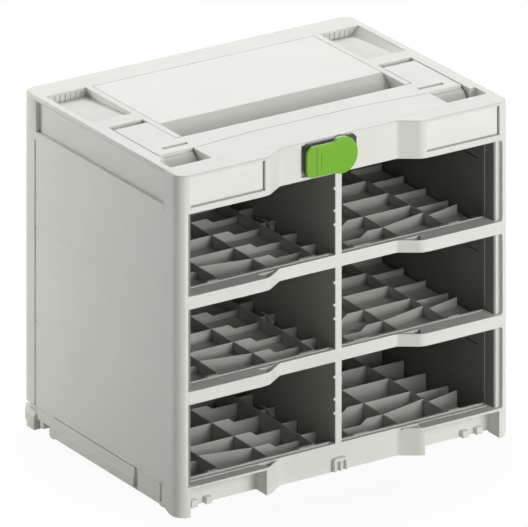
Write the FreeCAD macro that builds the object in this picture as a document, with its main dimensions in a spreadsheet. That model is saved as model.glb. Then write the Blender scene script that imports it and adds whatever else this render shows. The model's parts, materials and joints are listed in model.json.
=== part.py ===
import FreeCAD, Part
import os
import Sketcher

# A stackable rack case: a light grey moulded housing with six open bays in two columns of three,
# ribbed bay floors, a fold-down carry handle in the top and a rotary latch on the front.
# Frame: +X to the right seen from the front, +Y to the back, +Z up, millimetres.
# The origin is at the middle of the footprint on the plane that the feet stand on.

doc = FreeCAD.newDocument("RackCase")
sheet = doc.addObject("Spreadsheet::Sheet", "Sheet")
near = 0.01


class Size:
    """A length that knows its value and the spreadsheet expression it comes from."""

    def __init__(self, value, text):
        self.value = float(value)
        self.text = text

    def __add__(self, other):
        other = as_size(other)
        return Size(self.value + other.value, "(%s + %s)" % (self.text, other.text))

    def __radd__(self, other):
        return as_size(other) + self

    def __sub__(self, other):
        other = as_size(other)
        return Size(self.value - other.value, "(%s - %s)" % (self.text, other.text))

    def __rsub__(self, other):
        return as_size(other) - self

    def __mul__(self, other):
        other = as_size(other)
        return Size(self.value * other.value, "(%s * %s)" % (self.text, other.text))

    def __rmul__(self, other):
        return as_size(other) * self

    def __truediv__(self, other):
        other = as_size(other)
        return Size(self.value / other.value, "(%s / %s)" % (self.text, other.text))

    def __neg__(self):
        return Size(-self.value, "(0 - %s)" % self.text)


def as_size(number):
    if isinstance(number, Size):
        return number
    return Size(number, "%g" % number)


def size(alias, value, note):
    """One driving dimension: a row of the sheet with its name, its value and what it is."""
    size.row += 1
    sheet.set("A%d" % size.row, alias)
    sheet.set("B%d" % size.row, "%g" % value)
    sheet.set("C%d" % size.row, note)
    sheet.setAlias("B%d" % size.row, alias)
    return Size(value, "Sheet.%s" % alias)


size.row = 0

# ---------------------------------------------------------------- driving dimensions
# The housing as a whole
case_width = size("case_width", 396, "across the sides")
case_depth = size("case_depth", 296, "front face to rear face")
case_height = size("case_height", 337, "feet to top rim")
half_width = case_width / 2
front = -case_depth / 2
rear = case_depth / 2
corner_round = size("corner_round", 13, "radius of the four upright corners")
rim_round = size("rim_round", 2, "radius along the top edge")
skin = size("skin", 3, "moulded wall thickness")
shell_wall = size("shell_wall", 4, "shell wall at the corner columns")
joint_gap = size("joint_gap", 0.1, "clearance between neighbouring mouldings")
overlap = size("overlap", 0.1, "how far an added part runs into what it stands on")

# Bays
bay_rows = 3
first_sill = size("first_sill", 29.5, "top of the lowest sill above the feet")
head_tall = size("head_tall", 38, "height of the front panel over the upper openings")
beam_tall = size("beam_tall", 12.5, "height of the beam between two openings")
row_pitch = (case_height - head_tall - first_sill + beam_tall) / bay_rows
bay_height = row_pitch - beam_tall
bay_outer_front = half_width - size("bay_side_front", 9.8, "side face to the openings, at the front face")
bay_outer = half_width - size("bay_side", 17, "side face to the openings, behind the ledge")
window_outer = half_width - size("window_side", 14.8, "side face to the windows cut in the frame")
ledge_depth = size("ledge_depth", 5.5, "front face to the inner frame ledge")
mullion_half = size("mullion_half", 3.8, "half thickness of the upright between the columns")
mullion_deep = size("mullion_deep", 2, "depth of the upright between the columns")
window_round = size("window_round", 2.5, "radius in the outer corners of the openings")

# Front frame
frame_depth = size("frame_depth", 22, "front face to the back of the frame")
frame_wrap = size("frame_wrap", 28.4, "how far the frame wraps round onto the sides")
step_outer = size("step_outer", 91.5, "half width where the slanted step leaves the proud face")
step_inner = size("step_inner", 70, "half width where the slanted step meets the set-back face")
step_depth = size("step_depth", 14.5, "set-back of the middle of the front")
step_crown = size("step_crown", 16, "radius on the proud side of the step")
step_hollow = size("step_hollow", 7, "radius on the set-back side of the step")
sill_lip = size("sill_lip", 2.5, "thickness of the lowest sill's lip")
base_setback = size("base_setback", 20, "set-back of the outer base panels")
boss_outer = step_outer + size("boss_wide", 3.3, "base boss beyond the step, to the side")
foot_inner = half_width - size("foot_wide", 14, "width of the corner columns' feet")
foot_bevel_long = size("foot_bevel_long", 11, "length of the bevel under a corner column")
foot_bevel_tall = size("foot_bevel_tall", 3.5, "height of the bevel under a corner column")
ground_clear = size("ground_clear", 2, "feet to the underside of the base")
sill_groove = size("sill_groove", 2.6, "width of a groove along a sill")
sill_groove_deep = size("sill_groove_deep", 1.8, "depth of a groove along the lowest sill")
beam_groove_deep = size("beam_groove_deep", 4, "depth of a groove along an upper sill")
groove_rear = size("groove_rear", 19.5, "front face to the rear groove")
groove_front = size("groove_front", 12.5, "front face to the front groove of the lowest sill")
notch_size = size("notch_size", 2.6, "half width of a small triangular drain notch")
pocket_step_out = size("pocket_step_out", 5, "drain pocket beyond the step, to the side")
pocket_step_in = size("pocket_step_in", 16.5, "drain pocket from the step towards the middle")
pocket_step_rear = size("pocket_step_rear", 13.5, "front face to the rear edge of a drain pocket")
pocket_step_front = size("pocket_step_front", 3, "front face to the front corner of a drain pocket")
notch_deep = size("notch_deep", 5, "depth of a triangular drain notch")
notch_two = half_width - size("notch_two_at", 62.5, "side face to the second drain notch")
notch_three = half_width - size("notch_three_at", 44.6, "side face to the third drain notch")
notch_one = half_width - size("notch_one_at", 101.4, "side face to the first drain notch")
notch_line = size("notch_line", 12.2, "front face to the line of drain notches")
stop_proud = size("stop_proud", 2, "how far a drawer stop stands off the upright")
stop_tall = size("stop_tall", 2.6, "height of a drawer stop")
stop_first = size("stop_first", 30.4, "sill to the lowest drawer stop")
stop_second = size("stop_second", 44.3, "sill to the middle drawer stop")
stop_third = size("stop_third", 66.5, "sill to the highest drawer stop")
nub_wide = size("nub_wide", 7, "width of a stacking nub")
nub_tall = size("nub_tall", 7, "height of a stacking nub")
nub_deep = size("nub_deep", 6, "how far a stacking nub stands off the base panel")
nub_one = half_width - size("nub_one_at", 44.7, "side face to the first stacking nub")
nub_two = half_width - size("nub_two_at", 27.9, "side face to the second stacking nub")

# Badge recesses in the front panel
badge_inner = step_outer + size("badge_start", 5, "step to the beginning of the badge recesses")
badge_outer = half_width - size("badge_side", 13.5, "side face to the badge recesses")
badge_low = case_height - size("badge_drop", 32.2, "top rim to the lower edge of the recesses")
badge_high = case_height - size("badge_rim", 2.6, "top rim to the upper edge of the recesses")
badge_deep = size("badge_deep", 4, "depth of the recesses")
badge_margin = size("badge_margin", 1.2, "margin round the badge plate")
badge_thick = size("badge_thick", 1.2, "thickness of the badge plate")

# Shell
shell_low = size("shell_low", 26, "lower edge of the shell")
shell_top = case_height - size("cover_tall", 35, "height of the top cover")
panel_sink = size("panel_sink", 1, "how far the side panels are sunk")
panel_top = case_height - size("panel_drop", 43.3, "top rim to the upper edge of the sunk side panel")
panel_edge = size("panel_edge", 0.8, "ledge left under the sunk side panel")
rear_column = size("rear_column", 25.3, "depth of the rear corner column")
rear_column_wide = size("rear_column_wide", 26, "width of the rear corner column")
line_tall = size("line_tall", 0.8, "height of a fine line in the side panel")
line_deep = size("line_deep", 0.6, "depth of a fine line in the side panel")

# Top cover
band_top = case_height - size("band_rim", 4, "top rim to the sunk band round the cover")
band_deep = size("band_deep", 4, "depth of the sunk band")
band_rear = size("band_rear", 28, "rear face to the end of the side band")
plate_half = half_width - size("plate_side", 64, "side face to the top plate")
plate_front = front + size("plate_start", 137, "front face to the top plate")
plate_rear = rear - size("plate_end", 32, "rear face to the top plate")
plate_thick = size("plate_thick", 2, "thickness of the top plate")
plate_bevel = size("plate_bevel", 0.5, "bevel round the top plate")
well_low = case_height - size("well_deep", 27, "depth of the finger well")
well_foot = front + size("well_start", 103, "front face to the foot of the well's slope")
cheek_inner = half_width - size("cheek_far", 57, "side face to the inner wall of the handle channels")
cheek_outer = half_width - size("cheek_near", 15.6, "side face to the outer wall of the handle channels")
channel_low = case_height - size("channel_deep", 16, "depth of the handle channels")
channel_rear = front + size("channel_end", 157.4, "front face to the rear end of the handle channels")
pocket_front = front + size("pocket_start", 29.5, "front face to the front corner pockets")
pocket_rear = front + size("pocket_end", 51, "front face to the rear edge of the front corner pockets")
pocket_outer = half_width - size("pocket_side", 9, "side face to the corner pockets")
ramp_front = channel_rear + size("ramp_start", 19.6, "handle channels to the front edge of the rear pockets")
ramp_back = rear - size("ramp_end", 31.5, "rear face to the back wall of the rear pockets")
ramp_deep = size("ramp_deep", 8.5, "depth of the rear pockets at the back wall")
ramp_shallow = size("ramp_shallow", 3.6, "depth of the rear pockets at the front")
ramp_turn = half_width - size("ramp_side", 19, "side face to the line where the pocket floor turns up")
ramp_lip = size("ramp_lip", 0.4, "depth left at the outer edge of the rear pockets")
tooth_wide = size("tooth_wide", 1.6, "width of a tooth on the back wall")
tooth_proud = size("tooth_proud", 1.2, "how far a tooth stands off the back wall")
tooth_pitch = size("tooth_pitch", 6.2, "spacing of the teeth")
tooth_rim = size("tooth_rim", 2.1, "top rim to the top of the teeth")
tooth_count = size("tooth_count", 6, "teeth on each back wall")
hollow_low_top = case_height - size("hollow_well_deep", 30, "top rim to the hollow under the finger well")
hollow_side_top = case_height - size("hollow_side_deep", 19, "top rim to the hollow under the channels")
hollow_rib = size("hollow_rib", 3, "rib left between hollows")
hollow_back_wall = size("hollow_back_wall", 6, "sunk rear band to the hollows")
hollow_plate_start = size("hollow_plate_start", 6, "front edge of the top plate to the hollow under it")
ring_room = size("ring_room", 16, "half width of the hollow round the latch's ring")
ring_room_deep = size("ring_room_deep", 6, "depth of the hollow round the latch's ring")

# Carry handle
handle_thick = size("handle_thick", 14, "thickness of the handle")
handle_gap = size("handle_gap", 0.6, "gap round the folded handle")
grip_rear = front + size("grip_end", 95, "front face to the rear edge of the grip bar")
grip_front = front + size("grip_start", 63.6, "front face to the front edge of the grip bar at its ends")
grip_bow = size("grip_bow", 5.8, "how far the middle of the grip's front edge is drawn back")
grip_bow_half = size("grip_bow_half", 60, "half width of the drawn-back part")
arm_bend = front + size("arm_bend_at", 73, "front face to where the arm's front begins to round down")
arm_knee = front + size("arm_knee_at", 58, "front face to the middle point of the arm's rounded front")
arm_knee_drop = size("arm_knee_drop", 4.5, "drop at the middle point of the arm's front")
arm_front = front + size("arm_start", 51.6, "front face to the foremost point of the arm")
arm_round = size("arm_round", 12, "radii of the arm's rounded front")
pivot_back = front + size("pivot_at", 146, "front face to the handle pivot")
pin_radius = size("pin_radius", 3, "radius of a handle pivot pin")
pin_clear = size("pin_clear", 0.05, "running clearance of the pivot pin, on the radius")
pin_inner = half_width - size("pin_far", 61.5, "side face to the inner end of a pivot pin")
pin_outer = half_width - size("pin_near", 10, "side face to the outer end of a pivot pin")
arm_slot_rear = front + size("arm_slot_at", 79.2, "front face to the rear edge of the slot in each arm")
arm_slot_wide = size("arm_slot_wide", 2.4, "width of the slot in each arm")
arm_slot_inner = half_width - size("arm_slot_far", 59.5, "side face to the inner end of the arm slots")
arm_slot_outer = half_width - size("arm_slot_near", 30, "side face to the outer end of the arm slots")
handle_skin = size("handle_skin", 3, "wall of the hollow handle")
arm_skin = size("arm_skin", 4, "top wall of the hollow arms")
handle_edge = size("handle_edge", 1, "radius along the handle's top edges")

# Latch
latch_high = case_height - size("latch_drop", 18.3, "top rim to the latch axis")
latch_disc = size("latch_disc", 18.3, "radius of the latch's round head")
latch_reach = size("latch_reach", 42, "latch axis to the end of the lobe")
lobe_low = size("lobe_low", 16, "latch axis to the lobe's lower edge")
lobe_high = size("lobe_high", 15, "latch axis to the lobe's upper edge")
latch_thick = size("latch_thick", 4.8, "thickness of the latch knob")
flange_thick = size("flange_thick", 2.7, "thickness of the spindle's flange behind the knob")
flange_top = size("flange_top", 2.2, "flange beyond the knob at the top")
flange_side = size("flange_side", 1.2, "flange beyond the knob at the end of the lobe")
flange_ring = size("flange_ring", 0.8, "flange inside the knob's round head")
tab_inner = size("tab_inner", 8, "latch axis to the inner side of the flange's stop tab")
tab_outer = size("tab_outer", 19.5, "latch axis to the outer side of the stop tab")
tab_low = size("tab_low", 6, "latch axis to the underside of the stop tab")
tab_high = size("tab_high", 17.5, "latch axis to the top of the stop tab")
tab_bevel = size("tab_bevel", 4, "bevel on the corner of the stop tab")
facet_deep = size("facet_deep", 0.9, "fall of the finger facet at the end of the lobe")
latch_gap = size("latch_gap", 0.5, "gap behind the latch")
latch_boss_drop = size("latch_boss_drop", 1.2, "latch axis down to the middle of the round boss behind it")
latch_corner = size("latch_corner", 7, "radius of the lobe's corners")
latch_edge = size("latch_edge", 1.4, "radius along the latch's front edge")
latch_well = size("latch_well", 3, "depth of the recess behind the latch")
latch_well_margin = size("latch_well_margin", 2.2, "recess beyond the latch's outline")
latch_well_margin_low = size("latch_well_margin_low", 0.3, "recess within the knob's round head")
grip_line = size("grip_line", 30.7, "latch axis to the groove that marks the finger end")
grip_line_wide = size("grip_line_wide", 1, "width of the groove that marks the finger end")
grip_line_deep = size("grip_line_deep", 0.5, "depth of the groove that marks the finger end")
hub_radius = size("hub_radius", 9, "radius of the knob's hub")
spindle_radius = size("spindle_radius", 5, "radius of the latch spindle")
spindle_clear = size("spindle_clear", 0.1, "running clearance of the spindle, on the radius")
spindle_seat = size("spindle_seat", 2.5, "depth of the spindle's seat in the knob")
ring_radius = size("ring_radius", 8, "outer radius of the retaining ring")
ring_thick = size("ring_thick", 1.6, "thickness of the retaining ring")
spindle_tail = size("spindle_tail", 2, "spindle beyond the retaining ring")
neck_depth = size("neck_depth", 1, "depth of the groove that the retaining ring sits in")
spindle_bevel = size("spindle_bevel", 0.5, "bevel on the spindle's end")

# Base
tray_inset = size("tray_inset", 3.5, "how far the base is set in from the shell")
tray_lip = size("tray_lip", 3.3, "height of the base's lip inside the shell")
tray_rim = size("tray_rim", 18, "plain rim round the underside")
tray_relief = size("tray_relief", 1.2, "depth of the panels sunk into the underside")
tray_rib = size("tray_rib", 3, "rib left between two sunk panels")
tray_columns = 6
tray_rows = 4
slot_one = front + size("slot_one_at", 82, "front face to the first slot in the base's side")
slot_two = front + size("slot_two_at", 37, "front face to the second slot in the base's side")
slot_wide = size("slot_wide", 4, "width of a slot in the base's side")
slot_deep = size("slot_deep", 2, "depth of a slot in the base's side")
rail_front = front + size("rail_start", 86, "front face to a coupling rail")
rail_rear = rear - size("rail_end", 58, "rear face to the end of a coupling rail's upper part")
rail_rear_low = rear - size("rail_low_end", 78, "rear face to the end of a coupling rail's lower part")
rail_low = size("rail_low", 4, "underside of a coupling rail")
rail_step = size("rail_step", 13.7, "height of the rail's step")
rail_high = size("rail_high", 23, "upper edge of a coupling rail")
rail_thin = size("rail_thin", 1.2, "thickness of the rail's upper part")
rail_thick = size("rail_thick", 2.6, "thickness of the rail's lower part")
heel_front = rear - size("heel_long", 24, "length of a rear foot")
heel_inner = half_width - size("heel_wide", 16, "width of a rear foot")
heel_tall = size("heel_tall", 20, "height of a rear foot")
heel_bevel = size("heel_bevel", 6, "bevel on the outer upper edge of a rear foot")
heel_round = size("heel_round", 10, "radius of a rear foot's outer upright corner")
heel_cut_long = size("heel_cut_long", 10, "length of the part cut away under the heel")
heel_cut_tall = size("heel_cut_tall", 6, "height of the part cut away under the heel")
relief_front = heel_front - size("relief_long", 24, "length of the relief in front of a rear foot")
relief_high = size("relief_high", 11, "top of the relief in front of a rear foot")
peg_wide = size("peg_wide", 8, "side of the base to the inner face of a peg")
peg_inset = size("peg_inset", 0.5, "side of the base to the outer face of a peg")
peg_long = size("peg_long", 6.5, "length of a peg")
peg_front = front + size("peg_front_at", 36, "front face to the front pegs")
peg_rear = relief_front - size("peg_rear_at", 7, "relief to the rear pegs")
peg_high = relief_front + size("peg_high_at", 12, "front end of the relief to the peg in it")
peg_high_low = size("peg_high_low", 4, "underside of the peg in the relief")
lug_half = size("lug_half", 8, "half width of the coupling lug")
lug_low = size("lug_low", 3, "underside of the coupling lug")
lug_high = size("lug_high", 16, "top of the coupling lug")
lug_proud = size("lug_proud", 5, "how far the coupling lug stands off the base")
lug_prong = size("lug_prong", 2.2, "width of a prong of the coupling lug")
lug_web = size("lug_web", 1.2, "web left behind the gaps of the coupling lug")
lug_arch = size("lug_arch", 3, "height of the lug's bridge")

# Linings and divider
liner_thick = size("liner_thick", 2, "thickness of the bay linings")
lining_side = size("lining_side", 13.5, "side face to the inner face of the side linings")
flange_deep = size("flange_deep", 4, "depth of the flange at the front of a side lining")
lining_notch_long = size("lining_notch_long", 51.5, "rear face to the notch over the rear foot")
lining_notch_high = size("lining_notch_high", 23, "top of the notch over the rear foot")
divider_half = size("divider_half", 1.9, "half thickness of the centre divider")
shelf_wide = size("shelf_wide", 3, "how far the ledges reach under the bay floors")
shelf_tall = size("shelf_tall", 3, "height of the ledges that carry the bay floors")
rear_lining = rear - size("lining_back", 10, "rear face to the front face of the rear lining")
stud_thick = size("stud_thick", 1.6, "thickness of the ribs behind the linings")
stud_pitch = size("stud_pitch", 100, "spacing of the ribs behind the linings")
seam_back = front + size("seam_at", 131, "front face to the fine upright seam in the side lining")
seam_wide = size("seam_wide", 0.8, "width of the fine seam")
seam_deep = size("seam_deep", 0.5, "depth of the fine seam")
catch_front = front + size("catch_start", 41.5, "front face to the catch slot in the side lining")
catch_rear = front + size("catch_end", 65.5, "front face to the rear end of the catch slot")
catch_drop = size("catch_drop", 8, "catch slot below the top of its bay")
catch_tall = size("catch_tall", 3, "height of the catch slot")

# Bay floors
floor_deep = size("floor_deep", 24.4, "height of the lowest bay floors")
floor_shallow = size("floor_shallow", 12.4, "height of the upper bay floors")
floor_plate = size("floor_plate", 1.5, "thickness of a floor's plate")
floor_side_gap = size("floor_side_gap", 0.2, "gap beside a bay floor")
rib_thick = size("rib_thick", 1.4, "thickness of the floor ribs")
rib_first = size("rib_first", 21, "first long rib, from the middle")
rib_margin = size("rib_margin", 46, "last long rib to the side of the bay")
rib_count = 3
rib_pitch = (bay_outer - rib_margin - rib_first) / (rib_count - 1)
rib_last = rib_first + rib_pitch * (rib_count - 1)
cross_first = front + size("cross_start", 87, "front face to the foremost regular cross rib")
cross_end = size("cross_end", 37, "last cross rib to the rear lining")
cross_count = size("cross_count", 5, "number of regular cross ribs")
cross_pitch = (rear_lining - cross_end - cross_first) / (cross_count - 1)
cross_front = front + size("cross_front_at", 64, "front face to the short-spaced cross rib")
cross_drop = size("cross_drop", 5, "how far the lowered part of a cross rib lies below the sill")
cross_drop_outer = size("cross_drop_outer", 4.2, "drop of a cross rib beyond the last long rib")
cross_near = front + size("cross_near_at", 52, "front face to the foremost cross rib, by the middle")
front_rib_end = size("front_rib_end", 4.8, "side of the bay floor to the end of the front cross rib")
cross_turn = rib_first + size("cross_turn_at", 30, "first long rib to where a cross rib's top begins to rise")
cross_rise = size("cross_rise", 7.2, "width of the slanted rise")
bar_thick = size("bar_thick", 2.4, "thickness of the floor's front bar")
clip_proud = size("clip_proud", 0.9, "how far a clip stands above the front bar")
clip_deep = size("clip_deep", 3.2, "depth of a clip")
clip_outer_from = rib_last + size("clip_outer_start", 2.5, "last long rib to the outer clip")
clip_outer_to = clip_outer_from + size("clip_outer_wide", 13, "width of the outer clip")
clip_inner_from = rib_first + size("clip_inner_start", 2, "first long rib to the inner clip")
clip_inner_to = rib_first + size("clip_inner_end", 21, "first long rib to the far end of the inner clip")

# ---------------------------------------------------------------- places that follow from them
set_back = front + step_depth
frame_back = front + frame_depth
wrap_back = front + frame_wrap
shell_inner = half_width - shell_wall
shell_front = wrap_back + joint_gap
inner_front = frame_back + joint_gap
cover_side = shell_inner - joint_gap
ceiling_low = first_sill + row_pitch * (bay_rows - 1) + bay_height
tray_half = half_width - tray_inset
tray_floor = ground_clear + skin
handle_low = case_height - handle_thick
pivot_high = case_height - handle_thick / 2
latch_back = set_back - latch_gap
knob_back = latch_back - flange_thick
latch_front = knob_back - latch_thick
liner_inner = half_width - lining_side
flange_back = inner_front + flange_deep
cheek_front = front + ledge_depth + joint_gap


def sill(row):
    """Height of a bay's sill; row 0 is the lowest."""
    return first_sill + row_pitch * row


# ---------------------------------------------------------------- modelling helpers
planes = {"x": "YZ_Plane", "y": "XZ_Plane", "z": "XY_Plane"}
axes = {"x": "X_Axis", "y": "Y_Axis", "z": "Z_Axis"}


def new_body(label):
    body = doc.addObject("PartDesign::Body", label)
    body.Label = label
    return body


def origin_part(body, role):
    for feature in body.Origin.OriginFeatures:
        if feature.Role == role:
            return feature
    raise ValueError("no origin feature " + role)


def sketch_on(body, name, axis, level):
    """An empty sketch square to an axis, at a level along it."""
    sketch = body.newObject("Sketcher::SketchObject", name)
    sketch.AttachmentSupport = [(origin_part(body, planes[axis]), "")]
    sketch.MapMode = "FlatFace"
    level = as_size(level)
    offset = -level if axis == "y" else level
    sketch.AttachmentOffset = FreeCAD.Placement(FreeCAD.Vector(0, 0, offset.value), FreeCAD.Rotation())
    sketch.setExpression("AttachmentOffset.Base.z", offset.text)
    return sketch


def pin_point(sketch, geometry, point, along, up):
    """Hold one point of the sketch at its two distances from the origin."""
    for kind, place in (("DistanceX", along), ("DistanceY", up)):
        index = sketch.addConstraint(Sketcher.Constraint(kind, -1, 1, geometry, point, place.value))
        sketch.setExpression("Constraints[%d]" % index, place.text)


def draw_loops(sketch, loops):
    """Closed polygons, each a list of corner points."""
    for loop in loops:
        corners = [(as_size(a), as_size(b)) for a, b in loop]
        first = sketch.GeometryCount
        count = len(corners)
        for number in range(count):
            start = corners[number]
            end = corners[(number + 1) % count]
            sketch.addGeometry(Part.LineSegment(
                FreeCAD.Vector(start[0].value, start[1].value, 0),
                FreeCAD.Vector(end[0].value, end[1].value, 0)), False)
        for number in range(count):
            following = first + (number + 1) % count
            sketch.addConstraint(Sketcher.Constraint("Coincident", first + number, 2, following, 1))
        for number in range(count):
            pin_point(sketch, first + number, 1, corners[number][0], corners[number][1])


def draw_circles(sketch, centres, radius):
    radius = as_size(radius)
    for along, up in centres:
        along = as_size(along)
        up = as_size(up)
        circle = sketch.addGeometry(Part.Circle(
            FreeCAD.Vector(along.value, up.value, 0), FreeCAD.Vector(0, 0, 1), radius.value), False)
        pin_point(sketch, circle, 3, along, up)
        index = sketch.addConstraint(Sketcher.Constraint("Radius", circle, radius.value))
        sketch.setExpression("Constraints[%d]" % index, radius.text)


def raise_sketch(body, sketch, axis, low, high):
    """Add material between two levels along the axis."""
    pad = body.newObject("PartDesign::Pad", sketch.Name + "_pad")
    pad.Profile = sketch
    pad.setExpression("Length", (as_size(high) - low).text)
    body.Tip = pad
    return pad


def sink_sketch(body, sketch, axis, low, high):
    """Remove material between two levels along the axis, and make sure that some went."""
    doc.recompute()
    before = body.Shape.Volume
    pocket = body.newObject("PartDesign::Pocket", sketch.Name + "_cut")
    pocket.Profile = sketch
    pocket.Reversed = True
    pocket.setExpression("Length", (as_size(high) - low).text)
    body.Tip = pocket
    doc.recompute()
    if not body.Shape.Volume < before - near:
        raise ValueError(sketch.Name + " cuts nothing")
    return pocket


def start_level(axis, low, high):
    """A sketch square to Y looks towards the front, so it starts at the rear level."""
    return high if axis == "y" else low


def add_loops(body, name, axis, low, high, loops):
    sketch = sketch_on(body, name, axis, start_level(axis, low, high))
    draw_loops(sketch, loops)
    return raise_sketch(body, sketch, axis, low, high)


def cut_loops(body, name, axis, low, high, loops):
    sketch = sketch_on(body, name, axis, start_level(axis, low, high))
    draw_loops(sketch, loops)
    return sink_sketch(body, sketch, axis, low, high)


def add_discs(body, name, axis, low, high, centres, radius):
    sketch = sketch_on(body, name, axis, start_level(axis, low, high))
    draw_circles(sketch, centres, radius)
    return raise_sketch(body, sketch, axis, low, high)


def cut_discs(body, name, axis, low, high, centres, radius):
    sketch = sketch_on(body, name, axis, start_level(axis, low, high))
    draw_circles(sketch, centres, radius)
    return sink_sketch(body, sketch, axis, low, high)


def box_loop(left, right, low, high):
    return [(left, low), (right, low), (right, high), (left, high)]


def both_sides(inner, outer, low, high):
    """The same rectangle on the left and on the right of the middle plane."""
    return [box_loop(-as_size(outer), -as_size(inner), low, high), box_loop(inner, outer, low, high)]


def lies_at(edge, **place):
    """True when the whole edge has the given coordinates."""
    box = edge.BoundBox
    low = {"x": box.XMin, "y": box.YMin, "z": box.ZMin}
    high = {"x": box.XMax, "y": box.YMax, "z": box.ZMax}
    for name, value in place.items():
        value = as_size(value).value
        if abs(low[name] - value) > near or abs(high[name] - value) > near:
            return False
    return True


def soften(body, name, radius, wanted, kind="Fillet"):
    """Round or bevel the edges that the test picks out."""
    doc.recompute()
    base = body.Tip
    edges = ["Edge%d" % (number + 1) for number, edge in enumerate(base.Shape.Edges) if wanted(edge)]
    if not edges:
        raise ValueError(name + " finds no edge")
    feature = body.newObject("PartDesign::" + kind, name)
    feature.Base = (base, edges)
    feature.setExpression("Radius" if kind == "Fillet" else "Size", as_size(radius).text)
    body.Tip = feature
    return feature


def repeat(body, name, feature, axis, length, count):
    """Repeat a feature in a row along an axis."""
    pattern = body.newObject("PartDesign::LinearPattern", name)
    pattern.Originals = [feature]
    pattern.Direction = (origin_part(body, axes[axis]), [""])
    pattern.setExpression("Length", as_size(length).text)
    pattern.setExpression("Occurrences", as_size(count).text)
    body.Tip = pattern
    return pattern


# ---------------------------------------------------------------- front frame
def make_front_frame():
    """The stepped front moulding with its six openings, wrapped round the front corners."""
    body = new_body("front_frame")
    add_loops(body, "frame_plan", "z", 0, case_height, [[
        (-half_width, wrap_back), (-half_width, front), (-step_outer, front), (-step_inner, set_back),
        (step_inner, set_back), (step_outer, front), (half_width, front), (half_width, wrap_back),
        (shell_inner, wrap_back), (shell_inner, frame_back),
        (-shell_inner, frame_back), (-shell_inner, wrap_back)]])
    soften(body, "frame_corners", corner_round,
           lambda e: lies_at(e, x=half_width, y=front) or lies_at(e, x=-half_width, y=front))
    soften(body, "step_crowns", step_crown,
           lambda e: lies_at(e, x=step_outer, y=front) or lies_at(e, x=-step_outer, y=front))
    soften(body, "step_hollows", step_hollow,
           lambda e: lies_at(e, x=step_inner, y=set_back) or lies_at(e, x=-step_inner, y=set_back))
    soften(body, "frame_rim", rim_round,
           lambda e: lies_at(e, z=case_height) and (e.CenterOfMass.y < set_back.value + near
                                                    or lies_at(e, x=half_width)
                                                    or lies_at(e, x=-half_width)))
    windows = []
    backs = []
    ledges = []
    for row in range(bay_rows):
        low = sill(row)
        windows += both_sides(mullion_half, window_outer, low, low + bay_height)
        backs.append(box_loop(-mullion_half - overlap, mullion_half + overlap, low, low + bay_height))
        ledges += [window_loop(1, low), window_loop(-1, low)]
    cut_loops(body, "ledges", "y", front, front + ledge_depth, ledges)
    cut_loops(body, "windows", "y", front, frame_back, windows)
    cut_loops(body, "mullion_backs", "y", set_back + mullion_deep, frame_back, backs)
    cut_loops(body, "foot_bevels", "x", -half_width, half_width, [[
        (wrap_back, 0), (wrap_back, foot_bevel_tall), (wrap_back - foot_bevel_long, 0)]])
    cut_loops(body, "base_setback", "y", front, front + base_setback,
              both_sides(boss_outer, foot_inner, 0, first_sill - sill_lip))
    cut_loops(body, "underside", "y", front, frame_back,
              [box_loop(-foot_inner, foot_inner, 0, ground_clear)])
    cut_loops(body, "badge_recesses", "y", front, front + badge_deep,
              both_sides(badge_inner, badge_outer, badge_low, badge_high))
    cut_loops(body, "panel_hollows", "y", front + badge_deep + skin, frame_back,
              both_sides(badge_inner + skin, badge_outer, badge_low, badge_high - skin))
    add_discs(body, "latch_boss", "y", set_back, frame_back, [(0, latch_high - latch_boss_drop)],
              latch_disc)
    cut_latch_seat(body)
    cut_sill_details(body)
    add_stops(body)
    add_loops(body, "nubs", "y", front + base_setback - nub_deep, front + base_setback,
              nub_loops())
    return body


def window_loop(side, low):
    """The front of one opening, its two outer corners eased in two short facets."""
    high = low + bay_height
    inner = side * mullion_half
    outer = side * bay_outer_front
    straight = side * (bay_outer_front - window_round)
    ease = window_round * (1 - 0.5 ** 0.5)
    eased = side * (bay_outer_front - ease)
    return [(inner, low), (straight, low), (eased, low + ease), (outer, low + window_round),
            (outer, high - window_round), (eased, high - ease), (straight, high), (inner, high)]


def nub_loops():
    """Two stacking nubs on each outer base panel."""
    loops = []
    for place in (nub_one, nub_two):
        loops += both_sides(place - nub_wide / 2, place + nub_wide / 2, ground_clear, ground_clear + nub_tall)
    return loops


def cut_latch_seat(body):
    """The shallow recess behind the latch knob and the bore for its spindle."""
    cut_discs(body, "latch_round", "y", set_back, set_back + latch_well,
              [(0, latch_high)], latch_disc - latch_well_margin_low)
    cut_loops(body, "latch_recess", "y", set_back, set_back + latch_well, [box_loop(
        -latch_reach - latch_well_margin, 0, latch_high - lobe_low - latch_well_margin_low,
        latch_high + lobe_high + latch_well_margin_low)])
    cut_discs(body, "spindle_bore", "y", set_back, frame_back,
              [(0, latch_high)], spindle_radius + spindle_clear)


def cut_sill_details(body):
    """Fine grooves, drain pockets behind the step and small drain notches along the sills."""
    for row in range(bay_rows):
        level = sill(row)
        lines = [front + groove_rear]
        deep = beam_groove_deep
        drains = []
        if row == 0:
            lines.append(front + groove_front)
            deep = sill_groove_deep
            drains = small_drains()
        grooves = []
        for line in lines:
            grooves += both_sides(mullion_half * 2, bay_outer - sill_groove, line - sill_groove / 2,
                                  line + sill_groove / 2)
        cut_loops(body, "sill_grooves_%d" % row, "z", level - deep, level, grooves)
        for side in (1, -1):
            drains.append([(side * (step_outer + pocket_step_out), front + pocket_step_rear),
                           (side * (step_outer - pocket_step_in), front + pocket_step_rear),
                           (side * step_outer, front + pocket_step_front)])
        cut_loops(body, "drains_%d" % row, "z", level - notch_deep, level, drains)


def small_drains():
    """Three small triangular notches on each side of the lowest sill."""
    drains = []
    for place in (notch_one, notch_two, notch_three):
        for side in (1, -1):
            drains.append([(side * place, front + notch_line + notch_size),
                           (side * (place - notch_size), front + notch_line - notch_size),
                           (side * (place + notch_size), front + notch_line - notch_size)])
    return drains


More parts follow.
